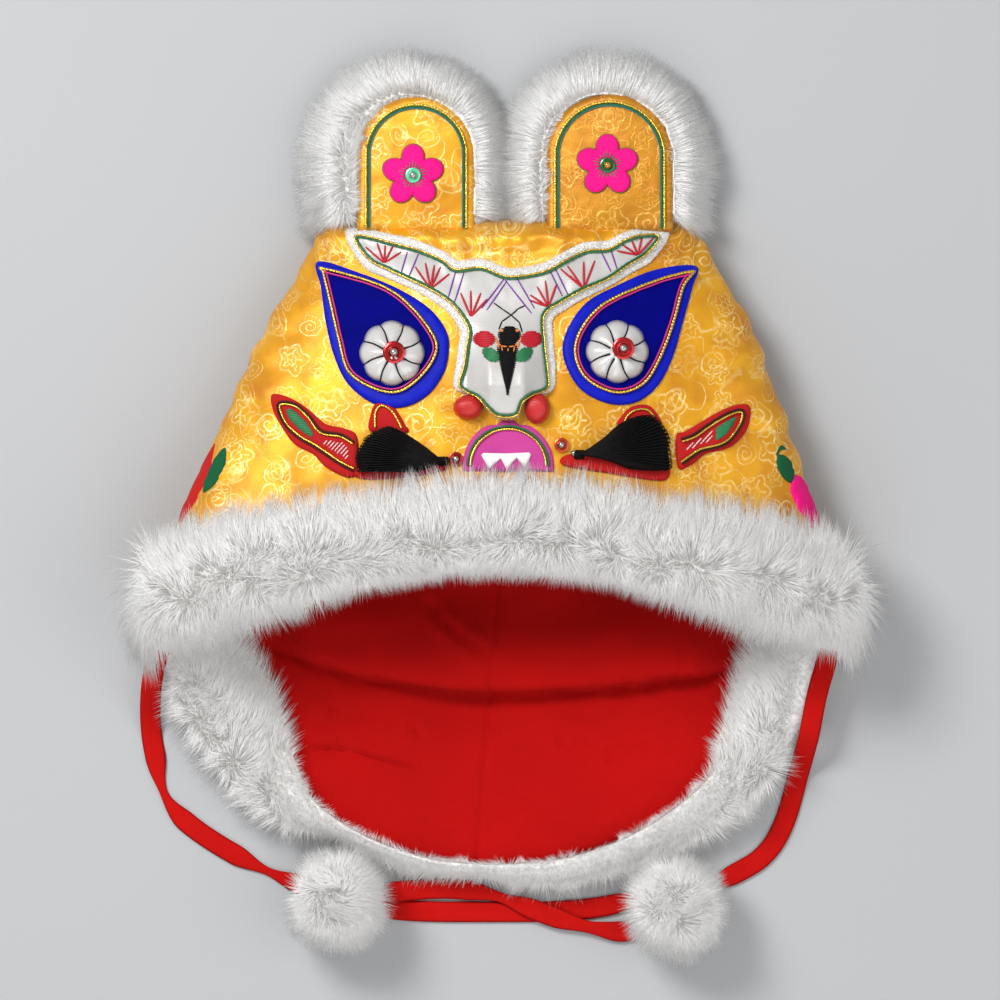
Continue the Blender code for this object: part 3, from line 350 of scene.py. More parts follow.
@dataclass(frozen=True)
class Brocade(Finish):
    """Yellow satin with woven figures: round medallions, five-petal flowers and cloud scrolls."""

    figure: Colour = (0.98, 0.82, 0.36)
    # Deeper amber of the satin's shaded folds: painted shade.
    shaded_amber: Colour = (0.50, 0.15, 0.008)

    def dress(self, graph: Graph, shader: bpy.types.Node) -> None:
        """Figures follow the cloth by its own map."""
        cloth = graph.add("ShaderNodeUVMap", {"uv_map": "cloth"})
        bent = graph.vector("ADD", cloth, graph.scaled(graph.vector(
            "SUBTRACT", graph.noise(cloth, 110.0, 2.0, 0.5, 1), (0.5, 0.5, 0.5)), 0.004))
        figure = None
        for scale, shift, petals in ((58.0, 0.0, 5.0), (83.0, 3.7, 6.0)):
            spot = graph.vector("ADD", bent, (shift, shift, 0.0))
            node = graph.add("ShaderNodeTexVoronoi", {"voronoi_dimensions": "2D"},
                             {"Vector": spot, "Scale": scale, "Randomness": 0.7}, "Position")
            tint = Value(graph, node.socket.node.outputs["Color"])
            kind = graph.add("ShaderNodeSeparateXYZ", None, {0: tint})
            local = graph.scaled(graph.vector("SUBTRACT", spot, node), scale)
            part = graph.parts(local, 2)
            radius = graph.vector("LENGTH", local, None, 1)
            angle = part[1].maths("ARCTAN2", part[0])
            wave = (angle * petals).maths("COSINE")
            flower = 1.0 - ((radius - wave * 0.05 - 0.31).maths("ABSOLUTE") / 0.035).clip()
            heart = 1.0 - ((radius - 0.12).maths("ABSOLUTE") / 0.03).clip()
            veins = wave.step(0.8, 0.95) * (radius > 0.14) * (radius < 0.27)
            turns = (radius * 6.5 - angle * (0.5 / math.pi)).maths("FRACT")
            curl = (1.0 - turns.step(0.22, 0.34)) * turns.step(0.0, 0.08) * (radius < 0.36)
            medal = (flower + heart + veins).clip()
            chosen = kind.step(0.42, 0.46)
            shape = curl * (1.0 - chosen) + medal * chosen
            figure = shape if figure is None else (figure + shape * 0.85).clip()
        stream = graph.noise(bent, 62.0, 1.0, 0.4)
        curls = ((stream * 7.0).maths("FRACT") - 0.5).maths("ABSOLUTE")
        scroll = (1.0 - curls.step(0.03, 0.09)) * graph.noise(bent, 47.0, 1.0).step(0.47, 0.55)
        patchy = graph.noise(cloth, 85.0, 3.0).step(0.36, 0.62)
        thread = graph.noise(cloth, 620.0, 2.0).step(0.32, 0.60)
        figure = (figure + scroll * 0.8).clip() * (patchy * 0.8 + 0.2) * (thread * 0.7 + 0.3)
        part = graph.parts(cloth, 2)
        turn = 2.0 * math.pi / self.grain
        twill = ((part[0] + part[1]) * turn).maths("SINE") * 0.5 + 0.5
        glint = graph.noise(cloth, 1500.0, 2.0).step(0.5, 0.75)
        cloud = graph.noise(cloth, 1.0 / self.tone, 3.0)
        ground = graph.mix((cloud * 2.2 - 0.6 + twill * 0.12).clip(), self.shade, self.colour)
        # Painted shade: random patches of the deeper amber that the satin shows in its shaded folds, kept off
        # the figures.
        warm = graph.noise(cloth, 120.0, 2.0).step(0.5, 0.7) * (1.0 - figure) * 0.45
        ground = graph.mix(warm, ground, self.shaded_amber)
        shine = (figure * 0.72 + glint * figure * 0.6).clip()
        graph.put(shader.inputs["Base Color"], graph.mix(shine, ground, self.figure))
        graph.put(shader.inputs["Roughness"], self.rough - figure * 0.08 + twill * 0.06)
        self.relief(graph, shader, figure * 0.55 + twill * 0.2 + cloud * 0.15 + glint * 0.1, self.depth)


@dataclass(frozen=True)
class Glitter(Finish):
    """Metallised disc or bead: bright, with a faintly uneven face."""

    coat: float = 0.6

    def dress(self, graph: Graph, shader: bpy.types.Node) -> None:
        """Uneven reflection and a clear coat."""
        place = self.place(graph)
        cloud = graph.noise(place, 1.0 / self.tone, 2.0)
        graph.put(shader.inputs["Base Color"], graph.mix(cloud, self.shade, self.colour))
        graph.put(shader.inputs["Roughness"], cloud * 0.15 + self.rough)
        shader.inputs["Coat Weight"].default_value = self.coat
        self.relief(graph, shader, cloud, self.depth)


def matt_thread(name: str, colour: Colour, shade: Colour, rough: float = 0.5, tone: float = 0.002,
                gloss: float = 0.3) -> Finish:
    """A thread with little shine."""
    return Finish(f"thread_{name}", colour, shade, rough, tone=tone, gloss=gloss)


def silk_thread(name: str, colour: Colour, shade: Colour) -> Finish:
    """A thread with a silky sheen."""
    return Finish(f"thread_{name}", colour, shade, rough=0.5, sheen=0.2, tone=0.002)


# The fur and the white felt carry painted glow, which brightens them where their fibres shade each other.
FUR = Pelt("fur_white", (0.79, 0.78, 0.762), (0.73, 0.725, 0.715), rough=0.9, sheen=0.15, grain=0.0009,
           depth=0.0004, tone=0.012, painted_glow=0.25, gloss=0.2)
WHITE_FELT = Finish("felt_white", (0.74, 0.725, 0.695), (0.65, 0.635, 0.605), rough=0.95, sheen=0.1,
                    grain=0.0008, depth=0.00012, tone=0.006, painted_glow=0.14, gloss=0.2)
PINK_FELT = Finish("felt_magenta", (0.90, 0.008, 0.24), (0.66, 0.0, 0.14), rough=0.85, sheen=0.05, gloss=0.2)
MOUTH_FELT = Finish("felt_mouth", (0.52, 0.058, 0.28), (0.42, 0.04, 0.22), rough=0.9, sheen=0.08, gloss=0.2)
RED_FELT = Finish("felt_red", (0.52, 0.012, 0.010), (0.26, 0.005, 0.006), rough=0.85, sheen=0.05, gloss=0.2)
GREEN_FELT = Finish("felt_green", (0.006, 0.11, 0.04), (0.003, 0.05, 0.018), rough=0.9, sheen=0.05, gloss=0.2)
YELLOW_CLOTH = Brocade("brocade_yellow", (0.83, 0.42, 0.009), (0.55, 0.20, 0.003), rough=0.37, metal=0.42,
                       grain=0.0005, depth=0.00018, tone=0.022)
# A darker copy of the yellow brocade, figures too, for the right ear: painted shade, as that ear turns away
# from the light.
SHADED_EAR_CLOTH = Brocade("brocade_ear_shaded", (0.58, 0.25, 0.005), (0.38, 0.13, 0.002), rough=0.36, metal=0.42,
                    grain=0.0005, depth=0.00018, tone=0.022, figure=(0.80, 0.50, 0.10))
LINING_CLOTH = Woven("cotton_lining", (0.43, 0.0033, 0.0026), (0.31, 0.002, 0.002), rough=0.9, grain=0.0005,
                     depth=0.00005, tone=0.04, gloss=0.08)
TAPE_CLOTH = Woven("cotton_tape", (0.50, 0.0045, 0.003), (0.36, 0.003, 0.002), rough=0.9, grain=0.0005,
                   depth=0.00005, tone=0.012, gloss=0.1)
WHITE_SATIN = Woven("satin_white", (0.55, 0.535, 0.51), (0.43, 0.415, 0.395), rough=0.36, metal=0.12,
                    grain=0.0004, depth=0.00004, tone=0.012, satin=1.0)
PEARL_SATIN = Woven("satin_pearl", (0.65, 0.635, 0.61), (0.51, 0.495, 0.48), rough=0.30, metal=0.25,
                    grain=0.0004, depth=0.00003, tone=0.01, satin=1.0)
BLUE_SATIN = Woven("satin_blue", (0.002, 0.010, 0.50), (0.001, 0.004, 0.26), rough=0.5, grain=0.0004,
                   depth=0.00006, tone=0.006, gloss=0.12, satin=1.0)
NAVY_SATIN = Woven("satin_navy", (0.0004, 0.001, 0.19), (0.0002, 0.0005, 0.10), rough=0.7, grain=0.0004,
                   depth=0.00005, tone=0.008, gloss=0.04, satin=1.0)
RED_SILK = Woven("silk_red", (0.56, 0.012, 0.010), (0.34, 0.004, 0.004), rough=0.4, grain=0.0004,
                 depth=0.0001, tone=0.004, satin=1.0)
GOLD_THREAD = Glitter("thread_gold", (1.0, 0.74, 0.12), (0.34, 0.17, 0.01), rough=0.2, metal=0.92,
                      depth=0.00016, tone=0.0005, coat=0.0)
GREEN_THREAD = matt_thread("green", (0.012, 0.17, 0.05), (0.004, 0.07, 0.02))
TEAL_THREAD = matt_thread("teal", (0.04, 0.23, 0.20), (0.015, 0.10, 0.10))
RED_THREAD = matt_thread("red", (0.52, 0.008, 0.022), (0.34, 0.004, 0.010))
PURPLE_THREAD = matt_thread("purple", (0.20, 0.028, 0.36), (0.11, 0.012, 0.21))
BLACK_THREAD = matt_thread("black", (0.006, 0.005, 0.005), (0.002, 0.0015, 0.0015), 0.65, 0.003, 0.12)
UMBER_THREAD = matt_thread("umber", (0.055, 0.008, 0.005), (0.02, 0.003, 0.002), 0.6, gloss=0.2)
ORANGE_THREAD = silk_thread("orange", (0.85, 0.25, 0.03), (0.62, 0.14, 0.015))
MAGENTA_THREAD = silk_thread("magenta", (0.55, 0.010, 0.22), (0.35, 0.004, 0.12))
LEAF_THREAD = silk_thread("leaf", (0.010, 0.20, 0.06), (0.004, 0.10, 0.03))
WHITE_THREAD = silk_thread("white", (0.80, 0.72, 0.66), (0.6, 0.54, 0.5))
RED_SEQUIN = Glitter("sequin_red", (0.62, 0.012, 0.012), (0.26, 0.003, 0.004),
                     rough=0.14, metal=0.85, tone=0.003)
ORANGE_SEQUIN = Glitter("sequin_orange", (0.80, 0.10, 0.02), (0.4, 0.03, 0.006),
                        rough=0.16, metal=0.8, tone=0.003)
MINT_SEQUIN = Glitter("sequin_mint", (0.20, 0.85, 0.45), (0.05, 0.50, 0.25),
                      rough=0.2, metal=0.5, tone=0.003)
PINE_SEQUIN = Glitter("sequin_pine", (0.01, 0.22, 0.05), (0.003, 0.09, 0.02),
                      rough=0.18, metal=0.7, tone=0.003)
STEEL = Glitter("bead_steel", (0.60, 0.60, 0.61), (0.30, 0.30, 0.31),
                rough=0.1, metal=1.0, tone=0.002)
AMBER = Glitter("bead_amber", (0.70, 0.36, 0.05), (0.35, 0.14, 0.01),
                rough=0.12, metal=0.7, tone=0.002)


@dataclass(frozen=True)
class HatForm:
    """The cloth's form, ring by ring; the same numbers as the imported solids.

    Attributes:
        sections: Rows of y, half width, middle, top and belt height.
        wall: Thickness of the crown's cloth.
        gap: Space between the crown and its lining.
        lining: Thickness of the lining.
        y_top: Where the closed top edge lies.
        round_top: Power of the front's curve; 2 would be an ellipse.
        round_back: Power of the back's curve.
        flat_back: How much of the back lies flat.
        brow: Middle of the brow's rim, its drop to the sides and the power of that curve.
        nape: Length of the nape flap below the sides, and the power of its curve.
        nape_lift: How far the flap's rim stands up.
        lift_reach: Length over which it rises.
        frame_steps: Steps of a walk up the cloth from its rim.
        frame_slope: Steepest slope of the rim that such a walk follows.
    """

    sections: tuple[tuple[float, ...], ...] = (
        (91.5, 61.0, 3.2, 11.0, 5.5), (88.5, 64.5, 3.4, 18.0, 8.0), (85.0, 67.0, 3.7, 23.5, 10.0),
        (80.0, 69.7, 4.0, 28.5, 12.0), (68.0, 76.6, 4.2, 34.5, 14.0), (53.0, 85.0, 4.0, 39.5, 15.5),
        (37.0, 92.3, 2.7, 43.5, 16.5), (20.0, 99.0, 2.3, 46.5, 17.0), (0.0, 106.3, 1.0, 49.0, 17.0),
        (-20.0, 114.5, 0.2, 50.5, 17.0), (-40.0, 119.8, 0.0, 51.0, 16.5),
        (-60.0, 122.5, 0.0, 51.0, 16.0), (-150.0, 122.5, 0.0, 51.0, 16.0))
    wall: float = 2.0
    gap: float = 0.35
    lining: float = 1.2
    y_top: float = 91.5
    round_top: float = 2.3
    round_back: float = 4.0
    flat_back: float = 1.06
    brow: tuple[float, float, float] = (-31.0, 25.0, 1.7)
    nape: tuple[float, float] = (85.0, 2.35)
    nape_lift: float = 5.4
    lift_reach: float = 48.0
    frame_steps: int = 10
    frame_slope: float = 0.38

    def section(self, y: float) -> list[float]:
        """Half width, middle, top and belt height of the ring at y."""
        rows = self.sections
        y = min(rows[0][0], max(rows[-1][0], y))
        low = next(i for i in range(len(rows) - 1) if y >= rows[i + 1][0])
        before, start = rows[max(low - 1, 0)], rows[low]
        end, after = rows[low + 1], rows[min(low + 2, len(rows) - 1)]
        span = end[0] - start[0]
        t = (y - start[0]) / span
        values = []
        for column in range(1, 5):
            slope_start = (end[column] - before[column]) / (end[0] - before[0])
            slope_end = (after[column] - start[column]) / (after[0] - start[0])
            values.append((2 * t**3 - 3 * t**2 + 1) * start[column]
                          + (t**3 - 2 * t**2 + t) * span * slope_start
                          + (3 * t**2 - 2 * t**3) * end[column] + (t**3 - t**2) * span * slope_end)
        return values

    def rim_y(self, angle: float) -> float:
        """Where the cloth ends at an angle round the ring; 0 is the brow, 180 the nape."""
        share = abs(math.sin(math.radians(angle)))
        start, drop, power = self.brow
        if abs(angle) <= 90.0:
            return start - drop * share**power
        return start - drop - self.nape[0] * (1.0 - share ** self.nape[1])

    def point(self, angle: float, y: float, inset: float = 0.0) -> Vector:
        """A point on the outer face, or on the face that lies inset inside it."""
        half, mid, top, belt = self.section(y)
        share = math.sin(math.radians(angle))
        x = mid + (half - inset) * share
        if abs(angle) <= 90.0:
            dome = max(0.0, 1.0 - abs(share) ** self.round_top) ** (1.0 / self.round_top)
            return Vector((x, y, belt + (top - inset - belt) * dome))
        hollow = max(0.0, 1.0 - abs(share) ** self.round_back) ** (1.0 / self.round_back)
        drop = min(1.0, self.flat_back * hollow)
        lift = self.nape_lift * smooth(1.0 - (y - self.rim_y(angle)) / self.lift_reach)
        return Vector((x, y, belt - (belt - inset) * drop + lift * smooth((abs(angle) - 90.0) / 26.0)))

    def top(self, x: float, y: float) -> float:
        """Height of the outer face over a plan point of the front."""
        half, mid, top, belt = self.section(y)
        share = min(1.0, abs(x - mid) / half)
        return belt + (top - belt) * (1.0 - share**self.round_top) ** (1.0 / self.round_top)

    def cloth_frame(self, angle: float, along: float, inset: float) -> tuple[Vector, Vector]:
        """Point and outward normal of the cloth, that far up it from the rim."""
        small = 0.5
        turned, y = angle, self.rim_y(angle)
        for _ in range(self.frame_steps):
            across = (self.point(turned + small, y) - self.point(turned - small, y)).length
            slope = (self.rim_y(turned + small) - self.rim_y(turned - small)) / across
            slope = max(-self.frame_slope, min(self.frame_slope, slope))
            forward = along / self.frame_steps / math.sqrt(1.0 + slope**2)
            y += forward
            turned -= forward * slope * 2.0 * small / across
            if abs(angle) <= 90.0:
                turned = max(-90.0, min(90.0, turned))
            else:
                turned = math.copysign(max(90.0, abs(turned)), angle)
        side = self.point(turned + small, y) - self.point(turned - small, y)
        down = self.point(turned, y + small) - self.point(turned, y - small)
        return self.point(turned, y, inset), side.cross(down).normalized()


FORM = HatForm()


@dataclass
class Sheet:
    """Points and faces that grow into one mesh, in millimetres.

    Attributes:
        points: Vertices.
        faces: Faces, by vertex.
        kinds: Material place of each face.
    """

    points: list[Vector] = field(default_factory=list)
    faces: list[tuple[int, ...]] = field(default_factory=list)
    kinds: list[int] = field(default_factory=list)

    def face(self, corners: Sequence[int], kind: int = 0) -> None:
        """Add a face."""
        self.faces.append(tuple(corners))
        self.kinds.append(kind)

    def grid(self, rows: int, columns: int, first: int, closed: bool, kind: int = 0,
             turned: bool = False) -> None:
        """Quads between rows of points that lie one after another.

        Args:
            rows: Number of rows.
            columns: Points in a row.
            first: Place of the first point.
            closed: Whether a row's last point joins its first.
            kind: Material place.
            turned: Whether the faces look the other way.
        """
        for row in range(rows - 1):
            for column in range(columns if closed else columns - 1):
                after = (column + 1) % columns
                quad = (first + row * columns + column, first + row * columns + after,
                        first + (row + 1) * columns + after, first + (row + 1) * columns + column)
                self.face(tuple(reversed(quad)) if turned else quad, kind)

    def caps(self, first: int, rows: int, columns: int, kind: int = 0) -> None:
        """Close both ends of the tube that rows of points make.

        Args:
            first: Place of the first point.
            rows: Number of rows.
            columns: Points in a row.
            kind: Material place.
        """
        last = first + (rows - 1) * columns
        self.face([first + k for k in reversed(range(columns))], kind)
        self.face([last + k for k in range(columns)], kind)

    def slab(self, rows: int, columns: int) -> None:
        """Faces of two grids of points, one after the other, and of the wall round them.

        Args:
            rows: Rows of either grid.
            columns: Points in a row.
        """
        size = rows * columns
        self.grid(rows, columns, 0, False)
        self.grid(rows, columns, size, False, turned=True)
        rim = list(range(columns)) + [row * columns + columns - 1 for row in range(1, rows)]
        rim += [size - columns + k for k in reversed(range(columns - 1))]
        rim += [row * columns for row in reversed(range(1, rows - 1))]
        for a, b in zip(rim, rim[1:] + rim[:1]):
            self.face((a, b, b + size, a + size))

    def tube(self, path: Sequence[Vector], radii: Sequence[float], sides: int, kind: int = 0,
             flat: float = 1.0) -> None:
        """A closed tube along a path.

        Args:
            path: Centre points.
            radii: Radius at each point.
            sides: Number of sides.
            kind: Material place.
            flat: Height over width.
        """
        first = len(self.points)
        normal = Vector((0.0, 0.0, 1.0))
        for i, here in enumerate(path):
            ahead = (path[min(i + 1, len(path) - 1)] - path[max(i - 1, 0)]).normalized()
            side = ahead.cross(normal)
            if side.length < 1e-4:
                side = ahead.orthogonal()
            side.normalize()
            normal = side.cross(ahead).normalized()
            for angle in circle(sides):
                self.points.append(here + radii[i] * (side * math.cos(angle)
                                                      + normal * flat * math.sin(angle)))
        self.grid(len(path), sides, first, True, kind)
        self.caps(first, len(path), sides, kind)

    def lathe(self, centre: Vector, profile: Sequence[Point], turns: int,
              reach: Callable[[float], float] = lambda angle: 1.0) -> None:
        """A turned body with its axis upright.

        Args:
            centre: Foot of the axis.
            profile: Radius and height, from the lower pole to the upper one.
            turns: Steps round.
            reach: Share of the radius at an angle.
        """
        first = len(self.points)
        for radius, height in profile:
            for angle in circle(turns):
                r = radius * reach(angle)
                self.points.append(centre + Vector((r * math.cos(angle), r * math.sin(angle), height)))
        self.grid(len(profile), turns, first, True)
        if profile[0] != profile[-1]:
            self.caps(first, len(profile), turns)

    def mesh(self, name: str, uvs: list[Point] | None = None, merge: float = 0.0) -> bpy.types.Mesh:
        """The mesh, in metres, with its faces outward.

        Args:
            name: The mesh's name.
            uvs: A cloth place for each vertex, in millimetres, if the finish needs one.
            merge: Distance within which points are joined, in millimetres.

        Returns:
            The mesh.
        """
        mesh = bpy.data.meshes.new(name)
        mesh.from_pydata([tuple(p * MM) for p in self.points], [], self.faces)
        mesh.polygons.foreach_set("material_index", self.kinds)
        if uvs:
            layer = mesh.uv_layers.new(name="cloth")
            for loop in mesh.loops:
                u, v = uvs[loop.vertex_index]
                layer.data[loop.index].uv = (u * MM, v * MM)
        work = bmesh.new()
        work.from_mesh(mesh)
        if merge:
            bmesh.ops.remove_doubles(work, verts=work.verts, dist=merge * MM)
        bmesh.ops.recalc_face_normals(work, faces=work.faces)
        work.to_mesh(mesh)
        work.free()
        return mesh

    def build(self, name: str, finishes: Sequence[Finish], nodes: Sequence[str], slot: str,
              uvs: list[Point] | None = None, merge: float = 0.0) -> bpy.types.Object:
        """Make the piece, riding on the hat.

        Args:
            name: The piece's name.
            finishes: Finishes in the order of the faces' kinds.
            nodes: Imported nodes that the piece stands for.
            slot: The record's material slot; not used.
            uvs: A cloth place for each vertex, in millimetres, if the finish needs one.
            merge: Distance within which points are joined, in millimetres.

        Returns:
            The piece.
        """
        mesh = self.mesh(name, uvs, merge)
        mesh.shade_smooth()
        for finish in finishes:
            mesh.materials.append(finish.build())
        return own(linked(name, mesh), nodes, slot)


def linked(name: str, data: bpy.types.ID) -> bpy.types.Object:
    """A new object in the scene with that mesh, camera or lamp."""
    made = bpy.data.objects.new(name, data)
    bpy.context.scene.collection.objects.link(made)
    return made


def own(made: bpy.types.Object, nodes: Sequence[str], slot: str) -> bpy.types.Object:
    """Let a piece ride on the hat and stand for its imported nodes."""
    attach(made, "root")
    if nodes:
        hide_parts(*nodes)
    LOG.info("%s: %d faces", made.name, len(made.data.polygons))
    return made


def route(points: Sequence[Sequence[float]], gap: float, closed: bool = False) -> list[Vector]:
    """Evenly spaced points on a smooth curve through the given ones.

    Args:
        points: Points of two or three numbers.
        gap: Wanted spacing.
        closed: Whether the curve comes back to its start.

    Returns:
        The points.
    """
    knots = [Vector((*p, 0.0)) if len(p) == 2 else Vector(p) for p in points]
    count = len(knots)
    fine = []
    for i in range(count if closed else count - 1):
        if closed:
            before, start, end, after = (knots[(i + k) % count] for k in (-1, 0, 1, 2))
        else:
            before, start = knots[max(i - 1, 0)], knots[i]
            end, after = knots[i + 1], knots[min(i + 2, count - 1)]
        for k in range(12):
            t = k / 12.0
            fine.append(0.5 * (2.0 * start + (end - before) * t
                               + (2.0 * before - 5.0 * start + 4.0 * end - after) * t**2
                               + (3.0 * start - before - 3.0 * end + after) * t**3))
    fine.append(knots[0].copy() if closed else knots[-1])
    lengths = [0.0]
    for a, b in zip(fine, fine[1:]):
        lengths.append(lengths[-1] + (b - a).length)
    steps = max(3, round(lengths[-1] / gap))
    even, at = [], 0
    for i in range(steps + (0 if closed else 1)):
        want = lengths[-1] * i / steps
        while at < len(fine) - 2 and lengths[at + 1] < want:
            at += 1
        share = (want - lengths[at]) / max(1e-9, lengths[at + 1] - lengths[at])
        even.append(fine[at].lerp(fine[at + 1], min(1.0, share)))
    return even


def edge_distance(x: float, y: float, outline: Sequence[Vector]) -> float:
    """Distance from a plan point to a closed outline."""
    best = 1e9
    for a, b in zip(outline, [*outline[1:], outline[0]]):
        dx, dy = b.x - a.x, b.y - a.y
        t = ((x - a.x) * dx + (y - a.y) * dy) / max(1e-9, dx * dx + dy * dy)
        t = min(1.0, max(0.0, t))
        best = min(best, (x - a.x - t * dx) ** 2 + (y - a.y - t * dy) ** 2)
    return math.sqrt(best)


def is_inside(x: float, y: float, outline: Sequence[Vector]) -> bool:
    """Whether a plan point is inside a closed outline."""
    odd = False
    for a, b in zip(outline, [*outline[1:], outline[0]]):
        if (a.y > y) != (b.y > y) and x < (b.x - a.x) * (y - a.y) / (b.y - a.y) + a.x:
            odd = not odd
    return odd


@dataclass
class Applique:
    """A cut shape of cloth or felt, sewn down on what lies under it.

    Attributes:
        outline: Closed outline, in plan.
        under: Height of what it lies on.
        seat: Clearance under it.
        thick: Its thickness away from the edge.
        edge: Width over which the edge rounds down.
        gap: Mesh spacing.
        rise: Extra height at a plan point.
        low: Thickness at the edge, as a share.
        packed: Distance between rows of mesh points, as a share of their spacing.
    """

    outline: list[Vector]
    under: Height
    seat: float = 0.25
    thick: float = 1.1
    edge: float = 0.8
    gap: float = 1.2
    rise: Height = lambda x, y: 0.0
    low: float = 0.35
    packed: float = 0.87

    def sheet(self) -> tuple[Sheet, list[Point]]:
        """Top, bottom and rim of the shape, and each point's plan place."""
        flat = [(p.x, p.y) for p in self.outline]
        count = len(flat)
        xs, ys = [p[0] for p in flat], [p[1] for p in flat]
        inner = []
        rows = int((max(ys) - min(ys)) / (self.gap * self.packed)) + 1
        for row in range(rows + 1):
            y = min(ys) + row * self.gap * self.packed
            x = min(xs) + (0.5 * self.gap if row % 2 else 0.0)
            while x < max(xs):
                if is_inside(x, y, self.outline) and edge_distance(x, y, self.outline) > 0.5 * self.gap:
                    inner.append((x, y))
                x += self.gap
        edges = [(i, (i + 1) % count) for i in range(count)]
        places, _, faces, _, _, _ = delaunay_2d_cdt([Vector(p) for p in flat + inner], edges, [], 1, 1e-6)
        far = [edge_distance(p.x, p.y, self.outline) for p in places]
        made = Sheet()
        for lift in (0, 1):
            for p, away in zip(places, far):
                z = self.under(p.x, p.y) + self.seat
                if lift:
                    turn = 1.0 - min(1.0, away / self.edge)
                    full = self.low + (1.0 - self.low) * math.sqrt(1.0 - turn**2)
                    z += self.thick * full + self.rise(p.x, p.y)
                made.points.append(Vector((p.x, p.y, z)))
        size = len(places)
        sides: dict[tuple[int, int], int] = {}
        for face in faces:
            made.face(tuple(reversed(face)))
            made.face(tuple(i + size for i in face))
            for a, b in zip(face, [*face[1:], face[0]]):
                sides[(a, b)] = 1
        for a, b in list(sides):
            if (b, a) not in sides:
                made.face((a, b, b + size, a + size))
        return made, [(p.x, p.y) for p in places] * 2

    def build(self, name: str, finish: Finish, nodes: Sequence[str], slot: str) -> bpy.types.Object:
        """Make the piece."""
        made, plan = self.sheet()
        return made.build(name, [finish], nodes, slot, plan)


def over(pieces: Sequence[bpy.types.Object], base: Height) -> Height:
    """Height of the highest of some pieces over a plan point, or base where none is."""
    trees = []
    for piece in pieces:
        mesh = piece.data
        trees.append(BVHTree.FromPolygons([v.co / MM for v in mesh.vertices],
                                          [tuple(p.vertices) for p in mesh.polygons]))

    def height(x: float, y: float) -> float:
        """The highest hit of a ray from above, or the base."""
        hits = [t.ray_cast(Vector((x, y, CEILING)), Vector((0.0, 0.0, -1.0)))[0] for t in trees]
        found = [h.z for h in hits if h]
        return max(found) if found else base(x, y)

    return height


@dataclass(frozen=True)
class Strand:
    """One strand of a couched cord.

    Attributes:
        off: How far it lies to the side of the route.
        radius: Its radius.
        finish: Its finish.
        pitch: Length of one turn of its twist, or 0 for a smooth thread.
    """

    off: float
    radius: float
    finish: Finish
    pitch: float = 0.0


GOLD_GREEN = (Strand(-0.5, 0.50, GOLD_THREAD, 0.95), Strand(0.45, 0.42, GREEN_THREAD))
GOLD_ROUND = (Strand(0.0, 0.62, GOLD_THREAD, 1.25),)


@dataclass
class Couching:
    """A cord of strands that lie side by side on a surface, sewn down.

    Attributes:
        plan: Route in plan.
        under: Height of what it lies on.
        strands: Its strands.
        closed: Whether the route comes back to its start.
    """

    plan: Sequence[Sequence[float]]
    under: Height
    strands: Sequence[Strand]
    closed: bool = False

    def sheet(self, gap: float = 0.32, sides: int = 5) -> Sheet:
        """Its strands, each with its own kind."""
        path = route(self.plan, gap, self.closed)
        if self.closed:
            path.append(path[0].copy())
        made = Sheet()
        for kind, strand in enumerate(self.strands):
            centres, radii = [], []
            for i, here in enumerate(path):
                ahead = (path[min(i + 1, len(path) - 1)] - path[max(i - 1, 0)]).normalized()
                side = Vector((ahead.y, -ahead.x, 0.0)).normalized()
                spot = here.xy.to_3d() + side * (strand.off + 0.06 * waver(i * gap, kind * 9.0, 4.0, 6.0))
                foot = max(self.under(spot.x + dx, spot.y + dy)
                           for dx, dy in ((0.0, 0.0), (0.5, 0.0), (-0.5, 0.0), (0.0, 0.5), (0.0, -0.5)))
                spot.z = foot + strand.radius + 0.08
                centres.append(spot)
                turn = math.pi * i * gap / strand.pitch if strand.pitch else 0.0
                radii.append(strand.radius * (0.66 + 0.34 * abs(math.cos(turn))))
            made.tube(centres, radii, sides, kind)
        return made

    def build(self, name: str, nodes: Sequence[str], slot: str) -> bpy.types.Object:
        """Make the piece."""
        return self.sheet().build(name, [s.finish for s in self.strands], nodes, slot)


def stitch(made: Sheet, start: Sequence[float], end: Sequence[float], under: Height, width: float,
           kind: int = 0, arch: float = 0.5, lean: float = 0.15) -> None:
    """A satin stitch: a thread bundle, pointed at its ends, that arches a little.

    Args:
        made: The sheet that it goes into.
        start: Plan point.
        end: Plan point.
        under: Height of what it lies on.
        width: Greatest width.
        kind: Material place.
        arch: Height of its middle.
        lean: How much of the width is left at the ends.
    """
    steps = 8
    path, radii = [], []
    for i in range(steps + 1):
        t = i / steps
        x = start[0] + (end[0] - start[0]) * t
        y = start[1] + (end[1] - start[1]) * t
        path.append(Vector((x, y, under(x, y) + 0.12 + arch * math.sin(math.pi * t))))
        radii.append(0.5 * width * (lean + (1.0 - lean) * math.sin(math.pi * t) ** 0.6))
    made.tube(path, radii, 6, kind, 0.6)


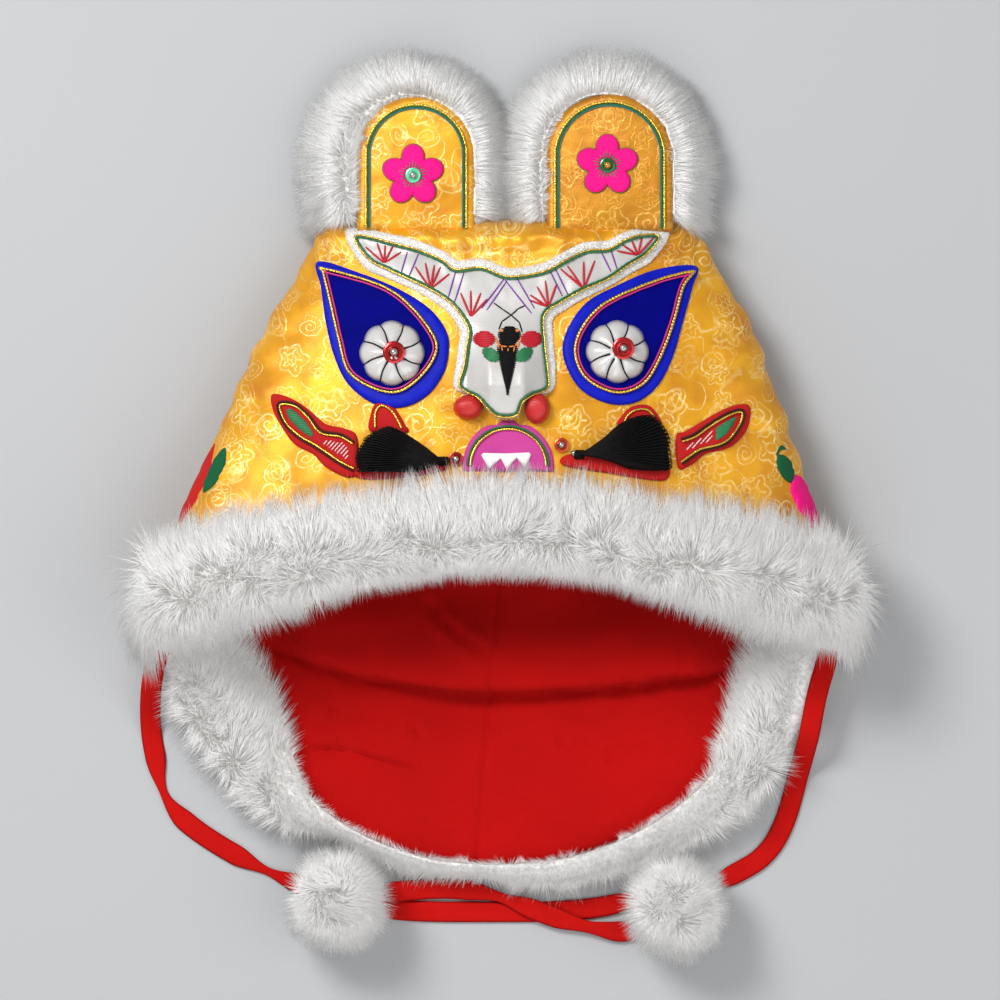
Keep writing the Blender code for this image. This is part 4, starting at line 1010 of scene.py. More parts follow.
@dataclass(frozen=True)
class Pile:
    """Fur of bent, tapered hairs, which stand on a body where its grow attribute lets them.

    Attributes:
        density: Hairs per square metre.
        length: Length of a hair, in metres.
        radius: Radius of a hair at its root, in metres.
        spread: How far single hairs lean at random.
        clump: How far neighbouring hairs lean together.
        clump_size: Size of such a lock, in metres.
        comb: How far the hairs follow the comb attribute.
        bend: Bend of a hair, as a share of its length.
        seed: Seed of what is random.
        segments: Steps along a hair; 1 is straight.
    """

    density: float
    length: float
    radius: float = 0.00022
    spread: float = 0.35
    clump: float = 1.5
    clump_size: float = 0.007
    comb: float = 0.8
    bend: float = 0.3
    seed: int = 1
    segments: int = 1

    def tree(self) -> bpy.types.NodeTree:
        """The geometry tree, made once."""
        found = bpy.data.node_groups.get("fur_pile")
        if found:
            return found
        tree = bpy.data.node_groups.new("fur_pile", "GeometryNodeTree")
        tree.interface.new_socket("Body", in_out="INPUT", socket_type="NodeSocketGeometry")
        for name in ("Density", "Length", "Radius", "Spread", "Clump", "Clump Size", "Comb", "Bend"):
            tree.interface.new_socket(name, in_out="INPUT", socket_type="NodeSocketFloat")
        for name in ("Seed", "Segments"):
            tree.interface.new_socket(name, in_out="INPUT", socket_type="NodeSocketInt")
        tree.interface.new_socket("Finish", in_out="INPUT", socket_type="NodeSocketMaterial")
        tree.interface.new_socket("Fur", in_out="OUTPUT", socket_type="NodeSocketGeometry")
        graph = Graph(tree)
        entry = tree.nodes.new("NodeGroupInput")
        given = {s.name: Value(graph, s) for s in entry.outputs if s.name}
        grow, size = (graph.add("GeometryNodeInputNamedAttribute", {"data_type": "FLOAT"}, {"Name": n},
                                "Attribute") for n in ("grow", "size"))
        comb = graph.add("GeometryNodeInputNamedAttribute", {"data_type": "FLOAT_VECTOR"},
                         {"Name": "comb"}, "Attribute")
        roots = graph.add("GeometryNodeDistributePointsOnFaces", {"distribute_method": "RANDOM"},
                          {"Mesh": given["Body"], "Density": given["Density"] * grow,
                           "Seed": given["Seed"]}, "Points")
        normal = Value(graph, roots.socket.node.outputs["Normal"])
        place = graph.add("GeometryNodeInputPosition")
        cloud = graph.add("ShaderNodeTexNoise", None, {"Vector": place, "Detail": 1.0,
                          "Scale": 1.0 / given["Clump Size"].maths("MAXIMUM", 1e-4)}, 1)
        lock = graph.vector("SUBTRACT", cloud, (0.5, 0.5, 0.5))
        stray = graph.add("FunctionNodeRandomValue", {"data_type": "FLOAT_VECTOR"},
                          {0: (-1.0, -1.0, -1.0), 1: (1.0, 1.0, 1.0), "Seed": given["Seed"]}, 0)
        lean = graph.vector("ADD", graph.scaled(comb, given["Comb"]), graph.scaled(lock, given["Clump"]))
        way = graph.vector("ADD", graph.vector("ADD", normal, lean), graph.scaled(stray, given["Spread"]))
        upright = graph.add("FunctionNodeAlignRotationToVector", {"axis": "Z"}, {"Vector": way})
        turned = graph.add("FunctionNodeAlignRotationToVector", {"axis": "X", "pivot_axis": "Z"},
                           {"Rotation": upright, "Vector": lean})
        hair = graph.add("GeometryNodeMeshCone", {"fill_type": "NGON"},
                         {"Vertices": 3, "Side Segments": given["Segments"], "Radius Top": 0.0,
                          "Radius Bottom": given["Radius"], "Depth": given["Length"]}, "Mesh")
        height = graph.add("ShaderNodeSeparateXYZ", None, {0: place}, 2) / given["Length"]
        arc = graph.add("ShaderNodeCombineXYZ", None, {0: height * height * given["Bend"] * given["Length"]})
        hair = graph.add("GeometryNodeStoreNamedAttribute", {"data_type": "FLOAT", "domain": "POINT"},
                         {"Geometry": hair, "Name": "tip", "Value": height})
        bent = graph.add("GeometryNodeSetPosition", None, {"Geometry": hair, "Offset": arc})
        even = graph.add("FunctionNodeRandomValue", {"data_type": "FLOAT"},
                         {2: 0.65, 3: 1.2, "Seed": given["Seed"]}, 1)
        coat = graph.add("GeometryNodeInstanceOnPoints", None,
                         {"Points": roots, "Instance": bent, "Rotation": turned, "Scale": even * size})
        joined = graph.add("GeometryNodeJoinGeometry", None, {0: given["Body"]})
        graph.put(joined.socket.node.inputs[0], coat)
        solid = graph.add("GeometryNodeRealizeInstances", None, {0: joined})
        soft = graph.add("GeometryNodeSetShadeSmooth", None, {"Geometry": solid})
        last = graph.add("GeometryNodeSetMaterial", None, {"Geometry": soft, "Material": given["Finish"]})
        graph.put(tree.nodes.new("NodeGroupOutput").inputs[0], last)
        return tree

    def grow(self, made: bpy.types.Object, finish: Finish) -> None:
        """Let the fur grow on a body and keep the result as a plain mesh, none of it under the floor."""
        tree = self.tree()
        modifier = made.modifiers.new("fur", "NODES")
        modifier.node_group = tree
        wanted = {"Density": self.density, "Length": self.length, "Radius": self.radius,
                  "Spread": self.spread, "Clump": self.clump, "Clump Size": self.clump_size,
                  "Comb": self.comb, "Bend": self.bend, "Seed": self.seed, "Segments": self.segments,
                  "Finish": finish.build()}
        for item in tree.interface.items_tree:
            if item.name in wanted:
                modifier[item.identifier] = wanted[item.name]
        seen = made.evaluated_get(bpy.context.evaluated_depsgraph_get())
        mesh = bpy.data.meshes.new_from_object(seen)
        made.modifiers.remove(modifier)
        made.data = mesh
        for vertex in mesh.vertices:
            vertex.co.z = max(vertex.co.z, 0.2 * MM)
        LOG.info("%s: %d faces with its fur", made.name, len(mesh.polygons))


def fur_body(name: str, made: Sheet, grow: Sequence[float], comb: Sequence[Vector], size: Sequence[float],
             pile: Pile, nodes: Sequence[str], finish: Finish = FUR) -> bpy.types.Object:
    """A furred piece.

    Args:
        name: The piece's name.
        made: Its body.
        grow: Share of the density at each point.
        comb: Direction of the pile at each point.
        size: Share of the length at each point.
        pile: The fur.
        nodes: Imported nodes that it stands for.
        finish: The finish of body and hairs.

    Returns:
        The piece.
    """
    mesh = made.mesh(name)
    for key, values in (("grow", grow), ("size", size)):
        mesh.attributes.new(key, "FLOAT", "POINT").data.foreach_set("value", list(values))
    flat = [c for v in comb for c in v]
    mesh.attributes.new("comb", "FLOAT_VECTOR", "POINT").data.foreach_set("vector", flat)
    mesh.materials.append(finish.build())
    piece = linked(name, mesh)
    pile.grow(piece, finish)
    return own(piece, nodes, "white_fur")


FULL_PARTING = 0.42
FLAT_SHIFT = 0.28


@dataclass(frozen=True)
class Section:
    """Sizes of a fur trim's section at one place.

    Attributes:
        reach: How far it comes up the crown's outer face.
        pile: How far it stands off that face.
        lip: How far it stands out beyond the rim.
        reach_in: How far it goes up the lining.
        pile_in: How far it stands off the lining.
        parting: Share of the section where the fur leans neither way; a flat trim's lies further in.
        hang: How far the fur hangs down.
        under: Share of the fur's length on the lip.
    """

    reach: float
    pile: float
    lip: float
    reach_in: float
    pile_in: float
    parting: float = FULL_PARTING
    hang: float = 0.0
    under: float = 1.0


@dataclass(frozen=True)
class BrowPile:
    """Form of the brow trim, which thins a little towards its ends; pairs run from middle to ends."""

    reach: tuple[float, float] = (20.5, 23.5)
    pile: float = 9.5
    lip: tuple[float, float] = (2.3, 3.8)
    lip_end: float = 2.6
    under: float = 0.52
    reach_in: float = 6.0
    pile_in: float = 3.0
    end: float = 84.0
    steps: int = 60

    def angles(self) -> list[float]:
        """Where its sections stand."""
        return [-self.end + 2.0 * self.end * i / self.steps for i in range(self.steps + 1)]

    def at(self, angle: float) -> Section:
        """The section at an angle."""
        share = smooth((abs(angle) - 60.0) / 26.0)
        wide = smooth((abs(angle) - 12.0) / 44.0)
        return Section(self.reach[0] + (self.reach[1] - self.reach[0]) * wide, self.pile - 0.5 * share,
                       self.lip[0] + (self.lip[1] - self.lip[0]) * wide + self.lip_end * share,
                       self.reach_in, self.pile_in - 1.0 * share,
                       hang=smooth((abs(angle) - 70.0) / 10.0) * (1.5 if angle < 0.0 else 1.0),
                       under=self.under + (1.0 - self.under) * wide)


@dataclass(frozen=True)
class NapePile:
    """Form of the nape trim: full at the corners, flat where the flap lies on it.

    Attributes:
        reach: How far it comes up the crown.
        pile: Pile at the corners and in the middle.
        lip: Lip at the corners, in the middle and where a tape presses it.
        full: Extra lip half way, its place and its half width.
        reach_in: Reach on the lining at the corners and in the middle.
        pile_in: Pile on the lining at the corners and in the middle.
        inner: Where the reach on the lining starts to fall, on the left and on the right.
        pressed: Angles between which a tape presses it, and the width of the passage.
        corner: Angles of the close sections at a corner.
        steps: Even sections from there to the middle, and their spacing.
    """

    reach: float = 15.0
    pile: tuple[float, float] = (9.0, 5.0)
    lip: tuple[float, float, float] = (8.0, 6.5, 2.0)
    full: tuple[float, float, float] = (5.0, 0.48, 0.34)
    reach_in: tuple[float, float] = (21.0, 0.9)
    pile_in: tuple[float, float] = (1.6, 5.6)
    inner: tuple[float, float] = (0.43, 0.37)
    pressed: tuple[float, float, float] = (-178.0, -152.0, 10.0)
    corner: tuple[float, ...] = (91.5, 93.5, 96.0, 99.5, 103.0, 107.5)
    steps: tuple[int, float] = (24, 2.9565)

    def angles(self) -> list[float]:
        """Where its sections stand, from one corner past the middle to the other."""
        half = [*self.corner, *(112.0 + self.steps[1] * i for i in range(self.steps[0]))]
        return half + [-a for a in reversed(half[:-1])]

    def at(self, angle: float) -> Section:
        """The section at an angle."""
        away = (abs(angle) - 90.0) / 90.0
        low, middle = smooth(away / 0.35), smooth((away - 0.35) / 0.5)
        inner = smooth((away - self.inner[0 if angle < 0.0 else 1]) / 0.21)
        lip = self.lip[0] + (self.lip[1] - self.lip[0]) * middle
        lip += self.full[0] * bump(away, self.full[1], self.full[2])
        turned = angle if angle < 0.0 else angle - 360.0
        outside = max(self.pressed[0] - turned, turned - self.pressed[1], 0.0)
        lip += (self.lip[2] - lip) * smooth(1.0 - outside / self.pressed[2])
        return Section(self.reach, self.pile[0] + (self.pile[1] - self.pile[0]) * low, lip,
                       self.reach_in[0] + (self.reach_in[1] - self.reach_in[0]) * inner,
                       self.pile_in[0] + (self.pile_in[1] - self.pile_in[0]) * smooth((away - 0.12) / 0.4),
                       FULL_PARTING + FLAT_SHIFT * smooth((away - 0.46) / 0.14),
                       smooth((0.16 - away) / 0.12))


@dataclass
class FurTrim:
    """Fur folded over a rim of the cloth, brow or nape.

    Attributes:
        name: The piece's name.
        node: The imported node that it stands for.
        form: Where its sections stand, and their sizes.
        pile: The fur.
        clear: Paths of the tapes that press the fur flat.
        outlets: Points where a tape comes out from under the fur, which is short there.
        bare: Share of the section, from its outer end, that lies hidden and carries no hairs.
        slot: Space between the trim and the cloth's faces.
        rim_slot: Space between the trim and the cloth's rim.
        furred: Points on the furred side of a section.
        profile: The furred side, in shares of reach and pile, and the side on which each point lies.
    """

    name: str
    node: str
    form: BrowPile | NapePile
    pile: Pile
    clear: Sequence[Sequence[Vector]] = ()
    outlets: Sequence[Vector] = ()
    bare: float = 0.0
    slot: float = 0.95
    rim_slot: float = 1.9
    furred: int = 26
    profile: tuple[tuple[float, float, str], ...] = (
        (1.03, 0.20, "out"), (1.12, 0.50, "out"), (0.88, 0.88, "out"), (0.50, 1.00, "out"),
        (0.12, 0.94, "out"), (-0.62, 0.62, "lip"), (-1.00, 0.00, "lip"), (-0.62, -0.62, "lip"),
        (0.20, 1.00, "in"), (0.66, 0.90, "in"), (1.06, 0.32, "in"))

    def ring(self, size: Section, station: int) -> list[tuple[float, float, float]]:
        """The C-shaped section as (along, off, inset), first its furred side."""
        inside = FORM.wall + FORM.gap + FORM.lining + self.slot
        knots = []
        for g, n, side in self.profile:
            if side == "out":
                knots.append((size.reach * g, self.slot + size.pile * n, 0.0))
            elif side == "in":
                knots.append((size.reach_in * g, -size.pile_in * n, inside))
            else:
                depth = size.pile if n > 0.0 else size.pile_in
                knots.append((size.lip * g, n * (depth + self.slot), inside / 2.0))
        curve = route(knots, 1.0)
        curve = [curve[round(i * (len(curve) - 1) / (self.furred - 1))] for i in range(self.furred)]
        middle = sum(curve, Vector()) / self.furred
        shaped = []
        for i, p in enumerate(curve):
            lump = 1.0 + 0.10 * noise.noise(Vector((station * 0.35, i * 0.22, 4.0)))
            away = (p - middle) * lump
            shaped.append((middle.x + away.x, middle.y + away.y, p.z))
        reach, back, drop = size.reach, size.reach_in, self.rim_slot
        return shaped + [(back, 0.0, inside), (back / 2.0, 0.0, inside), (-drop, 0.0, inside),
                         (-drop, self.slot, 0.0), (reach / 2.0, self.slot, 0.0), (reach, self.slot, 0.0)]

    def combed(self, size: Section, row: Sequence[Vector], i: int) -> tuple[Vector, float, float]:
        """The way that the fur lies at a point of a ring.

        Args:
            size: Sizes of the ring.
            row: Its points.
            i: Which of them.

        Returns:
            The comb's direction, how far the fur falls, and how far the point lies on a flat ridge.
        """
        point, last = row[i], self.furred - 1
        ahead = row[min(i + 1, last)] - row[max(i - 1, 0)]
        flat = (size.parting - FULL_PARTING) / FLAT_SHIFT
        slope = 2.0 + 10.0 * (size.parting - FULL_PARTING)
        share = max(-1.0, min(1.0 - 1.35 * flat, (i / last - size.parting) * slope))
        fall = size.hang * smooth((abs(point.x) - 117.0) / 6.0) if i < 0.6 * self.furred else 0.0
        way = ahead.normalized() * share * (1.0 - 0.6 * fall) + Vector((0.0, -1.3, -0.3)) * fall
        ridge = flat * smooth((i / self.furred - 0.5) / 0.15) if i <= last else 0.0
        way.x += 1.6 * ridge * noise.noise(point * 0.32)
        return way if i <= last else Vector(), fall, ridge

    def length(self, size: Section, i: int, from_end: int, fall: float) -> float:
        """Share of the fur's length at a point of a ring, away from the tapes.

        Args:
            size: Sizes of the ring.
            i: Place of the point in it.
            from_end: Rings between this one and the nearer end of the trim.
            fall: How far the fur falls there.

        Returns:
            The share.
        """
        place = i / self.furred
        long = (1.0 if i < 0.7 * self.furred else 0.8) * (1.0 + 0.5 * fall)
        long *= 1.0 - 2.0 * max(0.0, size.parting - FULL_PARTING) * smooth((place - 0.6) / 0.15)
        if min(i, from_end) < 2:
            long *= 0.55
        return long * (1.0 + (size.under - 1.0) * smooth((place - 0.42) / 0.16))

    def build(self) -> bpy.types.Object:
        """Make the piece."""
        made, grow, comb, size = Sheet(), [], [], []
        raised = [p for path in self.clear for p in path if p.z > 5.0]
        angles = self.form.angles()
        for station, angle in enumerate(angles):
            section = self.form.at(angle)
            row = []
            for along, off, inset in self.ring(section, station):
                centre, normal = FORM.cloth_frame(angle, along, inset)
                point = centre + normal * off
                point.z = max(0.3, point.z)
                row.append(point)
            from_end = min(station, len(angles) - 1 - station)
            for i, point in enumerate(row):
                way, fall, ridge = self.combed(section, row, i)
                comb.append(way)
                near = min(((point.xy - p.xy).length for p in raised), default=99.0)
                free = 1.0 if near > 5.2 or point.z < 3.0 else 0.0
                free *= 1.0 + 0.45 * ridge
                seen = self.bare * self.furred < i < self.furred - 1
                grow.append(free if seen or 0 < i < self.bare * self.furred and point.z > 4.0 else 0.0)
                long = self.length(section, i, from_end, fall)
                outlet = min(((point.xy - p.xy).length for p in self.outlets), default=99.0)
                long *= 0.4 + 0.6 * smooth((outlet - 3.5) / 5.0)
                size.append(long * (0.22 + 0.78 * smooth((near - 6.5) / 5.0)))
            made.points += row
        columns = len(made.points) // len(angles)
        made.grid(len(angles), columns, 0, True)
        made.caps(0, len(angles), columns)
        return fur_body(self.name, made, grow, comb, size, self.pile, [self.node])


@dataclass(frozen=True)
class Pompom:
    """A ball of loose fur on the end of a tie.

    Attributes:
        side: The side on which it lies.
        at: Its place in plan.
        radius: Radius of the body under the hairs.
        centre: Height of its middle.
        pile: The fur.
        rows: Steps from pole to pole.
        turns: Steps round.
        lump: Share of the radius by which it is uneven.
    """

    side: Side
    at: Point
    radius: float = 11.4
    centre: float = 18.4
    pile: Pile = Pile(6.2e6, 0.0092, radius=0.00016, spread=0.32, clump=1.4,
                      clump_size=0.010, comb=0.2, bend=0.40, seed=5)
    rows: int = 16
    turns: int = 28
    lump: float = 0.10

    def build(self) -> bpy.types.Object:
        """Make the ball."""
        made, comb = Sheet(), []
        angles = [math.pi * i / self.rows for i in range(self.rows + 1)]
        profile = [(max(0.02, self.radius * math.sin(a)), self.centre - self.radius * math.cos(a))
                   for a in angles]
        made.lathe(Vector((*self.at, 0.0)), profile, self.turns)
        middle = Vector((*self.at, self.centre))
        for point in made.points:
            away = point - middle
            point += away * self.lump * noise.noise(point * 0.11)
            comb.append(Vector((0.3, -0.5, -0.2)))
        count = len(made.points)
        return fur_body(f"pompom_fur_{self.side.value}", made, [1.0] * count, comb, [1.0] * count,
                        self.pile, [f"pompom_{self.side.value}"])


@dataclass
class Tie:
    """A flat cotton tape from under the fur to the far pompom, with a stitched line along it.

    Attributes:
        side: The side that it comes from.
        plan: Its route, with heights.
        narrow: Places along it, as shares, where it lies gathered, and its width there as a share.
        wide: Its width.
        thick: Its thickness.
        points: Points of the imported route.
        fall: Steepest slope of the route.
        clear: Space between the tape and the nape fur.
        columns: Points across it.
        swell: Half its thickness between the seams.
        groove: Depth and half width, as a share, of the stitched line in the middle.
        seam: Depth, place and half width, as shares, of the line at either edge.
        cup: How far its edges curl up and down.
    """

    side: Side
    plan: Sequence[Sequence[float]]
    narrow: Sequence[tuple[float, float]]
    wide: float = 7.6
    thick: float = 1.2
    points: int = 34
    fall: float = 0.8
    clear: float = 0.35
    columns: int = 9
    swell: float = 0.42
    groove: tuple[float, float] = (0.12, 0.12)
    seam: tuple[float, float, float] = (0.10, 0.8, 0.1)
    cup: float = 0.10

    def laid(self) -> list[Vector]:
        """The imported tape's route: raised where it lies on the nape fur, and resting elsewhere."""
        coarse = route(self.plan, 1.0)
        length = sum((b - a).length for a, b in zip(coarse, coarse[1:]))
        path = route(self.plan, length / (self.points - 1))
        under = over([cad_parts["nape_fur"]], lambda x, y: -9.0)
        shares = (-1.0, -0.5, 0.0, 0.5, 1.0)
        raised = []
        for i, here in enumerate(path):
            before, after = path[max(i - 1, 0)], path[min(i + 1, len(path) - 1)]
            side = Vector((after.y - before.y, before.x - after.x, 0.0)).normalized() * self.wide
            high = here.z
            for share in shares:
                at = here.lerp(after if share > 0.0 else before, abs(share))
                for across in shares:
                    spot = at + side * across * 0.55
                    high = max(high, under(spot.x, spot.y) + self.thick / 2.0 + self.clear)
            raised.append(Vector((here.x, here.y, high)))
        for order in (range(1, len(raised)), range(len(raised) - 2, -1, -1)):
            for i in order:
                near = raised[i - order.step]
                least = near.z - self.fall * (raised[i].xy - near.xy).length
                raised[i].z = max(raised[i].z, least)
        return raised

    def build(self, pompom: bpy.types.Object, path: list[Vector]) -> bpy.types.Object:
        fine = route(path, 0.9)
        made = Sheet()
        total = len(fine) - 1
        for face in (1.0, -1.0):
            for i, here in enumerate(fine):
                share = i / total
                ahead = fine[min(i + 1, total)] - fine[max(i - 1, 0)]
                side = Vector((ahead.y, -ahead.x, 0.0)).normalized()
                slim = 1.0 - max((1.0 - w) * bump(share, at, 0.055) for at, w in self.narrow)
                for k in range(self.columns):
                    across = 2.0 * k / (self.columns - 1) - 1.0
                    body = self.swell * (1.0 - across**4) ** 0.5 if abs(across) < 1.0 else 0.0
                    groove = self.groove[0] * bump(across, 0.0, self.groove[1])
                    groove += self.seam[0] * bump(abs(across), *self.seam[1:])
                    cup = self.cup * waver(here.x, here.y, 9.0, 2.0) * across
                    lift = face * (body - groove) + cup + 0.05
                    made.points.append(here + side * across * self.wide * 0.49 * slim
                                       + Vector((0.0, 0.0, lift)))
        made.slab(len(fine), self.columns)
        piece = made.build(f"tie_tape_{self.side.value}", [TAPE_CLOTH], [f"tie_{self.side.value}"],
                           "red_cotton", merge=0.01)
        length = sum((b - a).length for a, b in zip(path, path[1:]))
        tuple(path[0] * MM)
        [tuple(p * MM) for p in path]
        return piece


TIE_PLANS = {
    Side.LEFT: ((-121.5, -63.0, 18.0), (-123.3, -70.0, 14.0), (-124.5, -78.0, 8.0), (-125.0, -86.0, 3.0),
                (-124.6, -94.0, 0.9), (-123.4, -101.0, 0.9), (-121.8, -110.0, 0.9), (-118.0, -119.0, 0.9),
                (-110.0, -127.0, 0.9), (-98.0, -135.0, 0.9), (-85.0, -142.0, 0.9), (-72.0, -147.5, 0.9),
                (-57.0, -152.5, 0.9), (-41.0, -156.2, 0.9), (-27.0, -157.4, 0.9), (-13.0, -157.6, 0.9),
                (6.0, -157.6, 0.9), (20.0, -157.4, 0.9), (36.0, -156.0, 0.9), (46.0, -153.8, 1.5),
                (54.4, -152.6, 3.2)),
    Side.RIGHT: ((118.6, -63.0, 18.0), (117.0, -70.0, 16.0), (115.0, -77.0, 12.0), (113.4, -84.0, 8.0),
                 (112.0, -92.0, 4.0), (110.4, -99.0, 2.0), (108.6, -106.0, 0.9), (106.0, -116.0, 0.9),
                 (102.4, -127.0, 0.9), (96.0, -137.0, 0.9), (86.0, -143.6, 0.9), (76.0, -148.6, 0.9),
                 (66.0, -155.4, 0.9), (56.0, -161.8, 0.9), (46.0, -164.6, 1.3), (36.0, -163.6, 2.5),
                 (25.0, -161.0, 2.5), (12.0, -156.4, 2.5), (0.5, -152.2, 2.5), (-10.0, -149.8, 2.2),
                 (-21.0, -149.2, 1.4), (-34.0, -150.0, 2.6), (-45.4, -151.4, 2.7)),
}
TIE_NARROW = {Side.LEFT: ((0.235, 0.4), (0.43, 0.4), (0.99, 0.8)),
              Side.RIGHT: ((0.46, 0.55), (0.66, 0.6), (0.80, 0.5))}


@dataclass
class Shell:
    """The bag of cloth between two insets, closed at its top edge and open at its rim.

    Attributes:
        name: The piece's name.
        node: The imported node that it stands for.
        finish: Its cloth.
        slot: The record's material slot.
        insets: Insets of its outer and inner faces.
        short: How far it stays inside the rim.
        front: Columns over the front half.
        back: Columns over the back half.
        rows: Rings.
        crowd: Power by which the rings crowd near the top edge.
    """

    name: str
    node: str
    finish: Finish
    slot: str
    insets: tuple[float, float]
    short: float
    front: int
    back: int
    rows: int
    crowd: float = 1.2

    def relief(self, point: Vector, angle: float, face: int) -> float:
        """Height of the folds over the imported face; face is 0 outside and 1 inside."""
        return 0.0

    def spot(self, angle: float, y: float, inset: float) -> Vector:
        """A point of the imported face."""
        return FORM.point(angle, y, inset)

    def build(self) -> bpy.types.Object:
        """Make the piece."""
        half = [90.0 * i / self.front * 2.0 - 90.0 for i in range(self.front + 1)]
        tail = [90.0 + 90.0 * i / self.back for i in range(1, self.back + 1)]
        angles = [-a for a in reversed(tail)] + half + tail
        centre = angles.index(min(angles, key=abs))
        made, plan = Sheet(), []
        for face, inset in enumerate(self.insets):
            start = FORM.y_top - inset
            for row in range(self.rows):
                share = (row / (self.rows - 1)) ** self.crowd
                ring = []
                for angle in angles:
                    y = start + (FORM.rim_y(angle) + self.short - start) * share
                    ring.append(self.spot(angle, y, inset))
                walk = [0.0] * len(ring)
                for i in range(centre + 1, len(ring)):
                    walk[i] = walk[i - 1] + (ring[i] - ring[i - 1]).length
                for i in range(centre - 1, -1, -1):
                    walk[i] = walk[i + 1] - (ring[i] - ring[i + 1]).length
                plan += [(u, p.y) for u, p in zip(walk, ring)]
                made.points += [self.moved(p, a, face) for p, a in zip(ring, angles)]
        columns = len(angles)
        made.grid(self.rows, columns, 0, False)
        shift = self.rows * columns
        made.grid(self.rows, columns, shift, False, turned=True)
        last = (self.rows - 1) * columns
        for k in range(columns - 1):
            made.face((last + k, last + k + 1, shift + last + k + 1, shift + last + k))
        made.face(tuple(range(columns - 1)))
        made.face(tuple(shift + k for k in reversed(range(columns - 1))))
        return made.build(self.name, [self.finish], [self.node], self.slot, plan, merge=0.002)

    def moved(self, point: Vector, angle: float, face: int) -> Vector:
        """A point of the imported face, moved by the folds."""
        rise = self.relief(point, angle, face)
        if abs(angle) <= 90.0:
            way = Vector((0.9 * math.sin(math.radians(angle)), 0.0, max(0.25, math.cos(math.radians(angle)))))
            return point + way.normalized() * rise
        return point + Vector((0.0, 0.0, rise))


@dataclass
class CrownCloth(Shell):
    """The brocade crown, with puckers along its top edge and soft pulls round what is sewn on it.

    Attributes:
        level: Height where no fold is, away from what is sewn on and beside it.
        pull: Height of the slanting pulls.
        fine: Height of the small pulls across them.
        broad: Height of the broad hills.
        pleat: Height of the pleats that run down from the top edge.
        side: Height of the folds at the sides.
        most: Greatest height of them all.
        sewn: Middle, height over width and radius of what holds the cloth down.
        hem: Height of the rolled top edge.
    """

    level: tuple[float, float] = (1.1, 0.5)
    pull: float = 1.25
    fine: float = 0.6
    broad: float = 0.7
    pleat: float = 2.8
    side: float = 2.0
    most: float = 3.4
    sewn: tuple[tuple[float, float, float, float], ...] = (
        (-40.0, 47.0, 0.85, 36.0), (46.0, 47.0, 0.85, 36.0), (3.0, 46.0, 0.6, 26.0))
    hem: float = 4.6

    def relief(self, point: Vector, angle: float, face: int) -> float:
        """Folds of the outer face of the front; the rest stays."""
        if face or abs(angle) > 90.0:
            return 0.0
        x, y = point.x, point.y
        pull = waver(x * 0.9 + y * 0.35, y * 0.55 - x * 0.25, 9.0, 7.7)
        fine = waver(x * 0.6 - y * 0.5, y * 0.8 + x * 0.3, 5.0, 2.7)
        broad = waver(x, y, 26.0, 1.3)
        pleat = abs(waver(x, 0.12 * y, 5.0, 3.1)) * smooth((y - 62.0) / 24.0)
        side = abs(waver(y * 0.8, abs(x) * 0.25, 10.0, 5.0)) * smooth((abs(angle) - 44.0) / 25.0)
        rise = self.level[0] + self.pull * pull + self.fine * fine + self.broad * broad
        rise += self.pleat * pleat
        rise += self.side * side
        sewn = max(bump(math.hypot(x - cx, (y - cy) * flat), 0.0, r) for cx, cy, flat, r in self.sewn)
        rise = self.level[1] + (rise - self.level[1]) * (1.0 - 0.85 * smooth(sewn * 2.2))
        seam = bump(x, 0.0, 1.1) * smooth((y - 66.0) / 6.0)
        edge = y + 1.5 * waver(x, 0.0, 11.0, 6.1)
        hem = smooth((edge - 78.5) / 7.5) * (1.0 - smooth((edge - 89.2) / 2.0))
        hem *= smooth((66.0 - abs(x - 3.0)) / 8.0) * (1.0 + 0.35 * waver(x, 2.0, 8.0, 2.9))
        return min(self.most, max(0.0, rise)) * (1.0 - 0.9 * seam) + self.hem * hem


